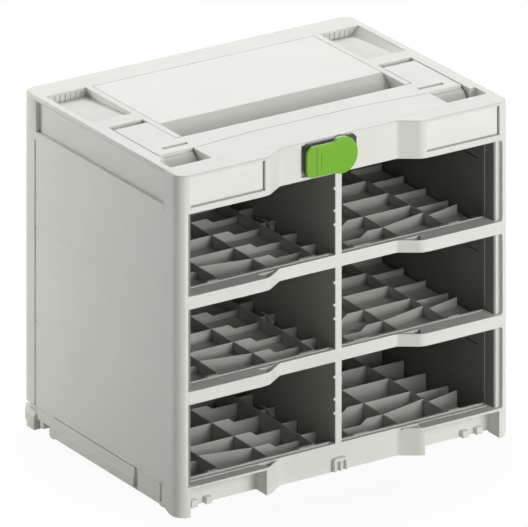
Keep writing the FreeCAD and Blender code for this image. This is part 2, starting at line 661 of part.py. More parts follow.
def add_stops(body):
    """Three small drawer stops on the left side of the upright in every row."""
    stops = []
    for row in range(bay_rows):
        for above in (stop_first, stop_second, stop_third):
            middle = sill(row) + above
            stops.append(box_loop(-mullion_half - stop_proud, -mullion_half + overlap,
                                  middle - stop_tall / 2, middle + stop_tall / 2))
    add_loops(body, "stops", "y", set_back, set_back + mullion_deep, stops)


# ---------------------------------------------------------------- shell
def make_outer_shell():
    """The housing's two sides and back, moulded in one piece."""
    body = new_body("outer_shell")
    add_loops(body, "shell_plan", "z", shell_low, shell_top, [[
        (-half_width, shell_front), (-shell_inner, shell_front), (-shell_inner, rear - shell_wall),
        (shell_inner, rear - shell_wall), (shell_inner, shell_front), (half_width, shell_front),
        (half_width, rear), (-half_width, rear)]])
    soften(body, "shell_corners", corner_round,
           lambda e: lies_at(e, x=half_width, y=rear) or lies_at(e, x=-half_width, y=rear))
    soften(body, "shell_inside", corner_round - shell_wall,
           lambda e: lies_at(e, x=shell_inner, y=rear - shell_wall)
           or lies_at(e, x=-shell_inner, y=rear - shell_wall))
    low = shell_low + panel_edge
    cut_loops(body, "side_panels", "y", shell_front, rear - rear_column,
              both_sides(half_width - panel_sink, half_width, low, panel_top))
    rear_panel_half = half_width - rear_column_wide
    cut_loops(body, "rear_panel", "y", rear - panel_sink, rear,
              [box_loop(-rear_panel_half, rear_panel_half, low, panel_top)])
    skin_line = half_width - panel_sink
    for row in range(1, bay_rows):
        level = sill(row) - (row_pitch - bay_height)
        cut_loops(body, "side_line_%d" % row, "y", shell_front, rear - rear_column,
                  both_sides(skin_line - line_deep, skin_line, level - line_tall / 2, level + line_tall / 2))
    return body


# ---------------------------------------------------------------- top
def make_top_cover():
    """The cover with its handle channels, finger well and corner pockets."""
    body = new_body("top_cover")
    add_loops(body, "cover_plan", "z", shell_top, case_height, [[
        (-cover_side, inner_front), (cover_side, inner_front), (cover_side, shell_front),
        (half_width, shell_front), (half_width, rear), (-half_width, rear),
        (-half_width, shell_front), (-cover_side, shell_front)]])
    soften(body, "cover_corners", corner_round,
           lambda e: lies_at(e, x=half_width, y=rear) or lies_at(e, x=-half_width, y=rear))
    soften(body, "cover_rim", rim_round,
           lambda e: lies_at(e, z=case_height)
           and e.CenterOfMass.y > shell_front.value + near and not lies_at(e, x=cover_side))
    cut_loops(body, "side_bands", "y", shell_front, rear - band_rear,
              both_sides(half_width - band_deep, half_width, shell_top, band_top))
    rear_band_half = half_width - rear_column_wide
    cut_loops(body, "rear_band", "y", rear - band_deep, rear,
              [box_loop(-rear_band_half, rear_band_half, shell_top, band_top)])
    cut_cover_hollows(body)
    cut_loops(body, "plate_seat", "z", case_height - plate_thick, case_height,
              [box_loop(-plate_half, plate_half, plate_front, plate_rear)])
    cut_loops(body, "finger_well", "x", -plate_half, plate_half, [[
        (plate_front, case_height), (well_foot, well_low), (grip_front + handle_thick / 2, well_low),
        (grip_front + handle_thick / 2, case_height)]])
    cut_loops(body, "grip_slot", "z", channel_low, case_height, [grip_outline(cheek_inner, handle_gap)])
    cut_loops(body, "channels", "z", channel_low, case_height,
              both_sides(cheek_inner, cheek_outer, pocket_front, channel_rear))
    cut_loops(body, "front_pockets", "z", channel_low, case_height,
              both_sides(cheek_inner, pocket_outer, pocket_front, pocket_rear))
    cut_rear_pockets(body)
    cut_discs(body, "pin_bores_right", "x", pin_inner, pin_outer, [(pivot_back, pivot_high)], pin_radius)
    cut_discs(body, "pin_bores_left", "x", -pin_outer, -pin_inner, [(pivot_back, pivot_high)], pin_radius)
    return body


def grip_outline(reach, gap):
    """Plan of the grip bar, its front edge drawn back in the middle; gap widens it at the front."""
    return [(-reach, grip_front - gap), (-plate_half, grip_front - gap),
            (-grip_bow_half, grip_front + grip_bow - gap), (grip_bow_half, grip_front + grip_bow - gap),
            (plate_half, grip_front - gap), (reach, grip_front - gap),
            (reach, grip_rear + gap), (-reach, grip_rear + gap)]


def cut_cover_hollows(body):
    """The underside is hollow: a three millimetre skin with ribs between the hollows."""
    inside = plate_half - hollow_rib
    outside = cheek_inner - hollow_rib
    back = rear - band_deep - hollow_back_wall
    cut_loops(body, "hollow_plate", "z", shell_top, case_height - plate_thick - skin,
              [box_loop(-inside, inside, plate_front + hollow_plate_start, back)])
    cut_loops(body, "hollow_well", "z", shell_top, hollow_low_top,
              [box_loop(-inside, inside, grip_front, plate_front)])
    cut_loops(body, "hollow_front", "z", shell_top, case_height - skin,
              [box_loop(-inside, inside, inner_front + skin, grip_front - skin)])
    cut_loops(body, "hollow_latch", "z", shell_top, case_height - skin,
              [box_loop(-ring_room, ring_room, inner_front, inner_front + ring_room_deep)])
    cut_loops(body, "hollow_sides", "z", shell_top, hollow_side_top,
              both_sides(outside, pocket_outer - hollow_rib / 2, pocket_front, back))


def ramp_section(body, name, level, deep, shallow):
    """One upright section through a rear pocket."""
    sketch = sketch_on(body, name, "x", level)
    draw_loops(sketch, [[
        (ramp_front, case_height + skin), (ramp_front, case_height - shallow),
        (ramp_back, case_height - deep), (ramp_back, case_height + skin)]])
    return sketch


def cut_rear_pockets(body):
    """Rear corner pockets whose floor ramps up to the front and to the outer side, with teeth."""
    for side, name in ((1, "right"), (-1, "left")):
        inner = ramp_section(body, "ramp_inner_" + name, side * cheek_inner, ramp_deep, ramp_shallow)
        turn = ramp_section(body, "ramp_turn_" + name, side * ramp_turn, ramp_deep, ramp_shallow)
        lip = ramp_section(body, "ramp_lip_" + name, side * pocket_outer, ramp_lip, ramp_lip)
        doc.recompute()
        before = body.Shape.Volume
        loft = body.newObject("PartDesign::SubtractiveLoft", "ramp_" + name)
        loft.Profile = inner
        loft.Sections = [turn, lip]
        loft.Ruled = True
        body.Tip = loft
        doc.recompute()
        if not body.Shape.Volume < before - near:
            raise ValueError("the rear pocket cuts nothing")
        first = cheek_inner + tooth_pitch
        if side < 0:
            first = -cheek_inner - tooth_pitch * tooth_count
        tooth = add_loops(body, "tooth_" + name, "z", case_height - ramp_deep, case_height - tooth_rim,
                          [box_loop(first, first + tooth_wide, ramp_back - tooth_proud, ramp_back + overlap)])
        repeat(body, "teeth_" + name, tooth, "x", tooth_pitch * (tooth_count - 1), tooth_count)


def make_top_plate():
    """The flat plate let into the top behind the finger well."""
    body = new_body("top_plate")
    add_loops(body, "plate_plan", "z", case_height - plate_thick, case_height, [box_loop(
        -plate_half + joint_gap, plate_half - joint_gap, plate_front + joint_gap, plate_rear - joint_gap)])
    soften(body, "plate_edge", plate_bevel, lambda e: lies_at(e, z=case_height), "Chamfer")
    return body


# ---------------------------------------------------------------- handle
def make_handle_frame():
    """The carry handle: a hollow grip bar between two arms with rounded ends."""
    body = new_body("handle_frame")
    arm_inner = cheek_inner + handle_gap
    arm_outer = cheek_outer - handle_gap
    add_loops(body, "grip_plan", "z", handle_low, case_height, [grip_outline(arm_outer, 0)])
    heel = pivot_back + handle_thick / 2
    arm = [(heel, handle_low), (heel, case_height), (arm_bend, case_height),
           (arm_knee, case_height - arm_knee_drop), (arm_front, handle_low)]
    add_loops(body, "arm_right", "x", arm_inner, arm_outer, [arm])
    add_loops(body, "arm_left", "x", -arm_outer, -arm_inner, [arm])
    soften(body, "arm_heels", handle_thick / 2 - overlap,
           lambda e: lies_at(e, y=heel, z=handle_low) or lies_at(e, y=heel, z=case_height))
    soften(body, "arm_fronts", arm_round,
           lambda e: lies_at(e, y=arm_knee, z=case_height - arm_knee_drop)
           or lies_at(e, y=arm_bend, z=case_height))
    soften(body, "grip_edge", handle_edge,
           lambda e: lies_at(e, y=grip_rear, z=case_height) or lies_at(e, y=grip_rear, z=handle_low))
    top = case_height - handle_skin
    cut_loops(body, "grip_hollow", "z", handle_low, top, [box_loop(
        -plate_half, plate_half, grip_front + grip_bow + handle_skin, grip_rear - handle_skin)])
    cut_loops(body, "arm_hollows", "z", handle_low, case_height - arm_skin, both_sides(
        arm_inner + handle_skin, arm_outer - handle_skin, arm_bend, pivot_back - handle_thick))
    cut_loops(body, "arm_slots", "z", top - handle_skin, case_height, both_sides(
        arm_slot_inner, arm_slot_outer, arm_slot_rear - arm_slot_wide, arm_slot_rear))
    cut_discs(body, "pin_bore", "x", -pin_outer, pin_outer, [(pivot_back, pivot_high)],
              pin_radius + pin_clear)
    return body


def make_handle_pivot_pins():
    """Two plain steel pins, one through each arm, held in the cover on both sides of it."""
    pins = []
    for side, name in ((1, "right"), (-1, "left")):
        pin = doc.addObject("Part::Cylinder", "pivot_pin_" + name)
        pin.setExpression("Radius", pin_radius.text)
        pin.setExpression("Height", (pin_outer - pin_inner).text)
        pin.Placement = FreeCAD.Placement(FreeCAD.Vector(0, 0, 0),
                                          FreeCAD.Rotation(FreeCAD.Vector(0, 1, 0), 90))
        start = pin_inner if side > 0 else -pin_outer
        pin.setExpression("Placement.Base.x", start.text)
        pin.setExpression("Placement.Base.y", pivot_back.text)
        pin.setExpression("Placement.Base.z", pivot_high.text)
        pins.append(pin)
    group = doc.addObject("Part::Compound", "handle_pivot_pins")
    group.Label = "handle_pivot_pins"
    group.Links = pins
    return group


# ---------------------------------------------------------------- latch
def make_latch_knob():
    """The rotary latch: a round head with a lobe to the left that turns up to catch the next case."""
    body = new_body("latch_knob")
    low = latch_high - lobe_low
    high = latch_high + lobe_high
    add_discs(body, "knob_disc", "y", latch_front, knob_back, [(0, latch_high)], latch_disc)
    soften(body, "disc_edge", latch_edge, lambda e: e.BoundBox.YMax < latch_front.value + near)
    lobe = new_body("latch_lobe")
    add_loops(lobe, "knob_lobe", "y", latch_front, knob_back, [box_loop(-latch_reach, 0, low, high)])
    soften(lobe, "lobe_corners", latch_corner,
           lambda e: lies_at(e, x=-latch_reach, z=low) or lies_at(e, x=-latch_reach, z=high))
    soften(lobe, "lobe_edge", latch_edge, lambda e: lies_at(e, y=latch_front) and not lies_at(e, x=0))
    joined = body.newObject("PartDesign::Boolean", "knob_union")
    joined.setObjects([lobe])
    body.Tip = joined
    cut_loops(body, "finger_facet", "z", low, high, [[
        (-grip_line, latch_front), (-latch_reach, latch_front + facet_deep), (-latch_reach, latch_front)]])
    cut_loops(body, "grip_line_cut", "y", latch_front, latch_front + grip_line_deep, [box_loop(
        -grip_line - grip_line_wide, -grip_line, low, high)])
    cut_discs(body, "spindle_seat_cut", "y", knob_back - spindle_seat, knob_back, [(0, latch_high)],
              spindle_radius)
    return body


def make_latch_spindle():
    """The spindle that carries the knob: a flange with a stop tab, a hub, and a neck for its ring."""
    body = new_body("latch_spindle")
    ring_front = frame_back + joint_gap
    add_loops(body, "flange_lobe", "y", knob_back, latch_back, [box_loop(
        -latch_reach - flange_side, 0, latch_high - lobe_low + flange_side,
        latch_high + lobe_high + flange_top)])
    soften(body, "flange_corners", latch_corner,
           lambda e: lies_at(e, x=-latch_reach - flange_side, z=latch_high - lobe_low + flange_side)
           or lies_at(e, x=-latch_reach - flange_side, z=latch_high + lobe_high + flange_top))
    add_discs(body, "flange_disc", "y", knob_back, latch_back, [(0, latch_high)], latch_disc - flange_ring)
    add_loops(body, "flange_tab", "y", knob_back, latch_back, [[
        (tab_inner, latch_high + tab_low), (tab_outer, latch_high + tab_low),
        (tab_outer, latch_high + tab_high - tab_bevel), (tab_outer - tab_bevel, latch_high + tab_high),
        (tab_inner, latch_high + tab_high)]])
    add_discs(body, "knob_hub", "y", latch_back, latch_back + latch_gap + latch_well - joint_gap,
              [(0, latch_high)], hub_radius)
    add_discs(body, "spindle_round", "y", knob_back - spindle_seat, ring_front + ring_thick + spindle_tail,
              [(0, latch_high)], spindle_radius)
    sketch = sketch_on(body, "neck", "y", ring_front + ring_thick)
    draw_circles(sketch, [(0, latch_high)], spindle_radius + neck_depth)
    draw_circles(sketch, [(0, latch_high)], spindle_radius - neck_depth)
    sink_sketch(body, sketch, "y", ring_front, ring_front + ring_thick)
    soften(body, "spindle_end", spindle_bevel,
           lambda e: lies_at(e, y=ring_front + ring_thick + spindle_tail), "Chamfer")
    return body


def make_latch_retainer():
    """The ring that snaps into the spindle's neck behind the front frame."""
    body = new_body("latch_retainer")
    ring_front = frame_back + joint_gap
    sketch = sketch_on(body, "ring", "y", ring_front + ring_thick)
    draw_circles(sketch, [(0, latch_high)], ring_radius)
    draw_circles(sketch, [(0, latch_high)], spindle_radius - neck_depth)
    raise_sketch(body, sketch, "y", ring_front, ring_front + ring_thick)
    return body


# ---------------------------------------------------------------- base
def make_base_tray():
    """The base moulding: a shallow tray whose lip stands inside the shell."""
    body = new_body("base_tray")
    back = rear - tray_inset
    add_loops(body, "tray_plan", "z", ground_clear, shell_low, [[
        (-cover_side, inner_front), (cover_side, inner_front), (cover_side, shell_front),
        (tray_half, shell_front), (tray_half, back), (-tray_half, back),
        (-tray_half, shell_front), (-cover_side, shell_front)]])
    lip_half = shell_inner - joint_gap
    lip_back = rear - shell_wall - joint_gap
    soften(body, "tray_corners", corner_round - tray_inset,
           lambda e: lies_at(e, x=tray_half, y=back) or lies_at(e, x=-tray_half, y=back))
    bevel = corner_round - shell_wall
    add_loops(body, "tray_lip_plan", "z", shell_low, shell_low + tray_lip, [[
        (-lip_half, shell_front), (lip_half, shell_front), (lip_half, lip_back - bevel),
        (lip_half - bevel, lip_back), (-lip_half + bevel, lip_back), (-lip_half, lip_back - bevel)]])
    inside = lip_half - skin
    cut_loops(body, "tray_inside", "z", tray_floor, shell_low + tray_lip, [box_loop(
        -inside, inside, inner_front, lip_back - skin)])
    slots = []
    for place in (slot_one, slot_two):
        slots.append(box_loop(tray_half - slot_deep, tray_half, place, place + slot_wide))
        slots.append(box_loop(-tray_half, -tray_half + slot_deep, place, place + slot_wide))
    cut_loops(body, "side_slots", "z", tray_floor, shell_low, slots)
    add_loops(body, "relief_walls", "y", relief_front - skin, heel_front, both_sides(
        bay_outer, inside + overlap, ground_clear, relief_high + skin))
    cut_loops(body, "reliefs", "y", relief_front, heel_front, both_sides(
        heel_inner, tray_half, ground_clear, relief_high))
    add_pegs(body)
    panels = []
    span = tray_half - tray_rim
    wide = (span * 2 + tray_rib) / tray_columns
    long = (back - tray_rim - shell_front + tray_rib) / tray_rows
    for column in range(tray_columns):
        for row in range(tray_rows):
            left = wide * column - span
            start = shell_front + long * row
            panels.append(box_loop(left, left + wide - tray_rib, start, start + long - tray_rib))
    cut_loops(body, "underside_panels", "z", ground_clear, ground_clear + tray_relief, panels)
    cut_loops(body, "heel_seats", "z", ground_clear, heel_tall,
              both_sides(heel_inner, tray_half, heel_front, back))
    return body


def add_pegs(body):
    """Small pegs along both sides of the underside; two pairs stand on the ground."""
    ends = (tray_half - peg_wide, tray_half - peg_inset)
    for name, start in (("front", peg_front), ("rear", peg_rear)):
        add_loops(body, "pegs_" + name, "y", start, start + peg_long,
                  both_sides(ends[0], ends[1], 0, ground_clear + overlap))
    add_loops(body, "pegs_high", "y", peg_high, peg_high + peg_long,
              both_sides(ends[0], ends[1], peg_high_low, relief_high + overlap))


def make_rear_foot(side, name):
    """A rear corner foot: a bevelled block let into the corner of the base, its heel cut away."""
    body = new_body("rear_foot_" + name)
    low = side * heel_inner
    high = side * half_width
    shoulder = side * (half_width - heel_bevel)
    add_loops(body, "heel_" + name, "y", heel_front, rear, [[
        (low, 0), (high, 0), (high, heel_tall - heel_bevel), (shoulder, heel_tall), (low, heel_tall)]])
    cut_loops(body, "heel_cut_" + name, "y", rear - heel_cut_long, rear, [box_loop(
        low, high, 0, heel_cut_tall)])
    soften(body, "heel_corner_" + name, heel_round,
           lambda e: e.BoundBox.YMin > rear.value - near and lies_at(e, x=high))
    return body


def make_side_rail(side, name):
    """A coupling rail along the foot of one side, thin above and thicker below its step."""
    body = new_body("side_rail_" + name)
    root = side * tray_half
    add_loops(body, "rail_upper_" + name, "y", rail_front, rail_rear, [box_loop(
        root, side * (tray_half + rail_thin), rail_step, rail_high)])
    add_loops(body, "rail_lower_" + name, "y", rail_front, rail_rear_low, [box_loop(
        root, side * (tray_half + rail_thick), rail_low, rail_step)])
    return body


def make_coupling_lug():
    """The three-pronged lug at the foot of the front that the latch of the case below catches."""
    body = new_body("coupling_lug")
    add_loops(body, "lug_face", "y", set_back - lug_proud, set_back, [box_loop(
        -lug_half, lug_half, lug_low, lug_high)])
    soften(body, "lug_shoulders", lug_prong,
           lambda e: lies_at(e, x=lug_half, z=lug_high) or lies_at(e, x=-lug_half, z=lug_high))
    cut_loops(body, "lug_gaps", "y", set_back - lug_proud, set_back - lug_web,
              both_sides(lug_prong / 2, lug_half - lug_prong, lug_low, lug_high - lug_arch))
    return body


def make_badge_insert(side, name):
    """A bare plate on the floor of one badge recess."""
    body = new_body("badge_insert_" + name)
    floor = front + badge_deep
    near_end = side * (badge_inner + badge_margin)
    far_end = side * (badge_outer - badge_margin)
    add_loops(body, "badge_" + name, "y", floor - badge_thick, floor, [box_loop(
        near_end, far_end, badge_low + badge_margin, badge_high - badge_margin)])
    return body


# ---------------------------------------------------------------- linings
def make_side_liner(side, name):
    """The dark lining of one side: a panel with ledges, ribs to the shell, and a flange at the front
    whose cheeks line the sides of the windows."""
    body = new_body("side_liner_" + name)
    face = side * liner_inner
    back_face = side * (liner_inner + liner_thick)
    add_loops(body, "lining_" + name, "y", inner_front, rear_lining, [box_loop(
        face, back_face, tray_floor, ceiling_low)])
    add_loops(body, "flange_" + name, "y", inner_front, flange_back, [box_loop(
        side * bay_outer, back_face, tray_floor, ceiling_low)])
    cheeks = []
    ledges = []
    catches = []
    for row in range(bay_rows):
        cheeks.append(box_loop(side * bay_outer, side * (window_outer - joint_gap), sill(row) + joint_gap,
                               sill(row) + bay_height - joint_gap))
        if row > 0:
            under = sill(row) - floor_shallow
            ledges.append(box_loop(side * (bay_outer - shelf_wide), face, under - shelf_tall, under))
        top = sill(row) + bay_height - catch_drop
        catches.append(box_loop(face, back_face, top - catch_tall, top))
    add_loops(body, "cheeks_" + name, "y", cheek_front, inner_front, cheeks)
    add_loops(body, "shelves_" + name, "y", flange_back, rear_lining, ledges)
    cut_loops(body, "catches_" + name, "y", catch_front, catch_rear, catches)
    cut_loops(body, "seam_" + name, "y", seam_back, seam_back + seam_wide, [box_loop(
        face, side * (liner_inner + seam_deep), lining_notch_high, ceiling_low)])
    studs = []
    for step in (-1, 0, 1):
        middle = stud_pitch * step
        studs.append(box_loop(back_face, side * shell_inner, middle - stud_thick / 2,
                              middle + stud_thick / 2))
    add_loops(body, "studs_" + name, "z", shell_low + tray_lip + skin, ceiling_low, studs)
    cut_loops(body, "foot_notch_" + name, "y", rear - lining_notch_long, rear_lining, [box_loop(
        side * (bay_outer - shelf_wide), back_face, tray_floor, lining_notch_high)])
    return body


def make_rear_liner():
    """The dark lining across the back of all six bays."""
    body = new_body("rear_liner")
    half = liner_inner + liner_thick
    low_half = heel_inner - joint_gap
    add_loops(body, "rear_lining_face", "y", rear_lining, rear_lining + liner_thick, [[
        (-low_half, tray_floor), (low_half, tray_floor), (low_half, lining_notch_high),
        (half, lining_notch_high), (half, ceiling_low), (-half, ceiling_low),
        (-half, lining_notch_high), (-low_half, lining_notch_high)]])
    studs = []
    for step in (-1, 0, 1):
        middle = stud_pitch * step
        studs.append(box_loop(middle - stud_thick / 2, middle + stud_thick / 2,
                              rear_lining + liner_thick, rear - shell_wall))
    add_loops(body, "rear_studs", "z", shell_low + tray_lip + skin, ceiling_low, studs)
    return body


def make_ceiling_panel():
    """The panel over the upper bays, carried by the linings and the divider."""
    body = new_body("ceiling_panel")
    side = shell_inner - joint_gap
    back = rear - shell_wall - joint_gap
    add_loops(body, "ceiling_plan", "z", ceiling_low, shell_top, [box_loop(-side, side, inner_front, back)])
    soften(body, "ceiling_corners", corner_round - shell_wall,
           lambda e: lies_at(e, x=side, y=back) or lies_at(e, x=-side, y=back))
    return body


def make_centre_divider():
    """The upright panel between the two columns, with ledges for the upper floors."""
    body = new_body("centre_divider")
    add_loops(body, "divider_face", "y", inner_front, rear_lining, [box_loop(
        -divider_half, divider_half, tray_floor, ceiling_low)])
    ledges = []
    tongues = []
    for row in range(bay_rows):
        tongues.append(box_loop(-divider_half, divider_half, sill(row) + joint_gap,
                                sill(row) + bay_height - joint_gap))
        if row > 0:
            under = sill(row) - floor_shallow
            ledges += both_sides(divider_half, divider_half + shelf_wide, under - shelf_tall, under)
    add_loops(body, "divider_shelves", "y", inner_front, rear_lining, ledges)
    add_loops(body, "divider_tongues", "y", set_back + mullion_deep + joint_gap, inner_front, tongues)
    return body


# ---------------------------------------------------------------- bay floors
def make_bay_floor(side, side_name, row, row_name):
    """One bay's ribbed floor: a plate, long ribs, notched cross ribs and a front bar with clips."""
    tag = "%s_%s" % (side_name, row_name)
    body = new_body("bay_floor_" + tag)
    top = sill(row)
    low = top - (floor_deep if row == 0 else floor_shallow)
    inner = divider_half + floor_side_gap
    outer = bay_outer - floor_side_gap
    rear_end = rear_lining - floor_side_gap
    add_loops(body, "plate_" + tag, "z", low, low + floor_plate, [box_loop(
        side * inner, side * outer, inner_front, rear_end)])
    longs = []
    for number in range(rib_count):
        middle = side * (rib_first + rib_pitch * number)
        longs.append(box_loop(middle - rib_thick / 2, middle + rib_thick / 2,
                              inner_front + bar_thick, rear_end))
    add_loops(body, "long_ribs_" + tag, "z", low, top, longs)
    rib = add_loops(body, "cross_rib_" + tag, "y", cross_first - rib_thick / 2, cross_first + rib_thick / 2,
                    [inner_profile(side, inner, low, top) + outer_profile(side, outer, low, top)])
    repeat(body, "cross_ribs_" + tag, rib, "y", cross_pitch * (cross_count - 1), cross_count)
    add_front_rib(body, side, tag, inner, outer, low, top)
    add_loops(body, "front_bar_" + tag, "z", low, top, [box_loop(
        side * inner, side * outer, inner_front, inner_front + bar_thick)])
    clips = []
    for start, end in ((clip_inner_from, clip_inner_to), (clip_outer_from, clip_outer_to)):
        clips.append(box_loop(side * start, side * end, inner_front, inner_front + clip_deep))
    add_loops(body, "clips_" + tag, "z", top - clip_deep, top + clip_proud, clips)
    return body


def inner_profile(side, inner, low, top):
    """A cross rib's outline from the divider: full height, lowered past the first long rib, then up."""
    return [(side * inner, low), (side * inner, top), (side * rib_first, top),
            (side * (rib_first + rib_thick), top - cross_drop), (side * cross_turn, top - cross_drop),
            (side * (cross_turn + cross_rise), top)]


def outer_profile(side, outer, low, top):
    """The rest of the outline, lowered again past the last long rib."""
    return [(side * rib_last, top), (side * (rib_last + rib_thick), top - cross_drop_outer),
            (side * outer, top - cross_drop_outer), (side * outer, low)]


def add_front_rib(body, side, tag, inner, outer, low, top):
    """The front cross rib in three runs: square, slanting back between two long ribs, square again."""
    second = rib_first + rib_pitch
    add_loops(body, "front_rib_inner_" + tag, "y", cross_near - rib_thick / 2, cross_near + rib_thick / 2,
              [inner_profile(side, inner, low, top) + [(side * second, top), (side * second, low)]])
    add_loops(body, "front_rib_slant_" + tag, "z", low, top, [[
        (side * second, cross_near - rib_thick / 2), (side * rib_last, cross_front - rib_thick / 2),
        (side * rib_last, cross_front + rib_thick / 2), (side * second, cross_near + rib_thick / 2)]])
    add_loops(body, "front_rib_outer_" + tag, "y", cross_front - rib_thick / 2, cross_front + rib_thick / 2,
              [[(side * rib_last, low), (side * rib_last, top - cross_drop),
                (side * (outer - front_rib_end), top), (side * (outer - front_rib_end), low)]])


# ---------------------------------------------------------------- build, check and write
parts = [make_front_frame(), make_outer_shell(), make_top_cover(), make_top_plate(), make_handle_frame(),
         make_handle_pivot_pins(), make_latch_knob(), make_latch_spindle(), make_latch_retainer(),
         make_base_tray(), make_coupling_lug(), make_rear_liner(), make_ceiling_panel(),
         make_centre_divider()]
for side, side_name in ((-1, "left"), (1, "right")):
    parts.append(make_rear_foot(side, side_name))
    parts.append(make_side_rail(side, side_name))
    parts.append(make_badge_insert(side, side_name))
    parts.append(make_side_liner(side, side_name))
    for row, row_name in enumerate(("bottom", "middle", "top")):
        parts.append(make_bay_floor(side, side_name, row, row_name))
doc.recompute()

for thing in doc.Objects:
    if "Invalid" in thing.State or "Error" in thing.State:
        raise ValueError("%s is %s" % (thing.Name, thing.State))
for piece in parts:
    shape = piece.Shape
    if shape.isNull() or not shape.isValid() or not shape.Solids:
        raise ValueError(piece.Label + " has no sound shape")

os.makedirs("parts", exist_ok=True)
for piece in parts:
    piece.Shape.exportStep("parts/%s.step" % piece.Label)
    box = piece.Shape.BoundBox
    print("%-26s solids %d  x %.1f..%.1f  y %.1f..%.1f  z %.1f..%.1f" % (
        piece.Label, len(piece.Shape.Solids), box.XMin, box.XMax, box.YMin, box.YMax, box.ZMin, box.ZMax))
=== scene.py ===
# %% [markdown]
# # A stackable rack case
#
# The object is a light grey moulded case, a little under forty centimetres wide, with six open bays
# in two columns of three. Dark linings and ribbed floors sit inside it, a carry handle folds flat
# into its top, and a green rotary latch on the front catches the case that is stacked above.
#
# The construction model gives every separate moulding in its true place. This file dresses those
# mouldings: it softens their edges, adds the fine things that a mould leaves, and gives each
# plastic its own surface. Lengths are metres, +X is to the right seen from the front, +Y goes to
# the back.

# %% Open the construction model
import json
import math

import bmesh
import bpy
from mathutils import Matrix, Vector
from mathutils.bvhtree import BVHTree
from mathutils.kdtree import KDTree

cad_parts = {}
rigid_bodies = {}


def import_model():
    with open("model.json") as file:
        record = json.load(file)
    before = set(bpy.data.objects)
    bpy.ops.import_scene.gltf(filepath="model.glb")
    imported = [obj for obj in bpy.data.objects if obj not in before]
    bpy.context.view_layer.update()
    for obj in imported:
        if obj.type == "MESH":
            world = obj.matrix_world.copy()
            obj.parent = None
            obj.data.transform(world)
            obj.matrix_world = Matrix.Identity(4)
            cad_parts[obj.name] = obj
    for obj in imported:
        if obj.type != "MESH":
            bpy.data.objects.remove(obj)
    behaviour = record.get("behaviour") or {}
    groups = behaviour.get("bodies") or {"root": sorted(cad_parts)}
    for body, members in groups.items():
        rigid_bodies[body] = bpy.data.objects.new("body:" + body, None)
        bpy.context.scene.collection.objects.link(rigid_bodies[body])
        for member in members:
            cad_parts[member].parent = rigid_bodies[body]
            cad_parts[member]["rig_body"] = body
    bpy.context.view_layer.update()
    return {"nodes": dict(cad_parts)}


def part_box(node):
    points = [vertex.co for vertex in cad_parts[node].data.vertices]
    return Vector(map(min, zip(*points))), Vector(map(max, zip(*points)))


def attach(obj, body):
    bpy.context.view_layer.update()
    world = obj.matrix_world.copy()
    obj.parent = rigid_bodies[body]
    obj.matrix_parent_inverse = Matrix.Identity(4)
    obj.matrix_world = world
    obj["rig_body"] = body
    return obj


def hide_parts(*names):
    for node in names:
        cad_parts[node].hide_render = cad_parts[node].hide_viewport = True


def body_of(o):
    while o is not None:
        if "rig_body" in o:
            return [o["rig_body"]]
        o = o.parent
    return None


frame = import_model()
nodes = frame["nodes"]
scene = bpy.context.scene

# %% [markdown]
# ## Camera
#
# Product views of such a case are made with a long lens from well in front, with the camera kept
# level and the lens shifted down, so that the upright edges stay upright. A level camera that looks
# down through a large shift would slide sideways when the object is seen from other sides, so the
# same picture is made here by leaning the camera's own axes: its right stays level, its up stays
# upright, and only its view direction tips down. Axes that are not square to each other can't be
# set as a rotation, so the camera is the child of an empty, and its parent inverse holds them.

# %% Set the camera
AZIMUTH = math.radians(33.0096)
TIP = 0.3722932
EYE = Vector((-5.506888, -8.473686, 3.929123))
LENS = 729.279
SENSOR = 36
NEAREST = 0.1
FARTHEST = 200

ahead = Vector((math.sin(AZIMUTH), math.cos(AZIMUTH), 0))
right = Vector((math.cos(AZIMUTH), -math.sin(AZIMUTH), 0))
up = Vector((0, 0, 1))
back = -(ahead - TIP * up) / math.hypot(1, TIP)

rig = bpy.data.objects.new("camera_rig", None)
scene.collection.objects.link(rig)
lens = bpy.data.cameras.new("camera")
lens.lens = LENS
lens.sensor_width = SENSOR
lens.clip_start = NEAREST
lens.clip_end = FARTHEST
camera = bpy.data.objects.new("camera", lens)
scene.collection.objects.link(camera)
camera.parent = rig
leaning = Matrix((right, up, back)).transposed().to_4x4()
leaning.translation = EYE
camera.matrix_parent_inverse = leaning
scene.camera = camera
print("camera stands", round(EYE.length, 2), "m away")

# %% [markdown]
# ## Studio
#
# Pale matt plastic needs broad, soft lamps. The strongest hangs high behind the right of the case
# and lights the lid. Three stand in front, straight on, low, and as a key to the right: only light
# from there reaches the floors of the bays. A weak one in front to the left keeps the left side a
# little darker than the front, and a small one close behind that side brightens its far end.

# %% Light the object
CASE_MIDDLE = (0, 0, 0.17)
LEFT_SIDE_REAR = (-0.2, 0.1, 0.25)


def softbox(name, place, side, watts, aim=CASE_MIDDLE):
    """A square lamp of the given side, turned to face the aim."""
    lamp = bpy.data.lights.new(name, "AREA")
    lamp.shape = "SQUARE"
    lamp.size = side
    lamp.energy = watts
    holder = bpy.data.objects.new(name, lamp)
    scene.collection.objects.link(holder)
    holder.location = place
    holder.rotation_euler = (Vector(aim) - Vector(place)).to_track_quat("-Z", "Y").to_euler()
    holder.visible_camera = False
    return holder


softbox("lamp_overhead", place=(1.2, 1.4, 2.0), side=1.4, watts=45)
softbox("lamp_front", place=(0.4, -3.0, 1.3), side=1.4, watts=28)
softbox("lamp_front_low", place=(0.9, -3.0, 0.35), side=1.2, watts=32)
softbox("lamp_key", place=(1.6, -2.8, 1.4), side=1.4, watts=20)
softbox("lamp_front_left", place=(-1.8, -2.6, 1.0), side=1.4, watts=5)
softbox("lamp_left_rear", place=(-0.75, 0.75, 0.6), side=0.4, watts=5.6, aim=LEFT_SIDE_REAR)

scene.view_settings.view_transform = "Standard"
power = sum(lamp.energy for lamp in bpy.data.lights)
print("lamps:", len(bpy.data.lights), "with", round(power, 1), "W in all")

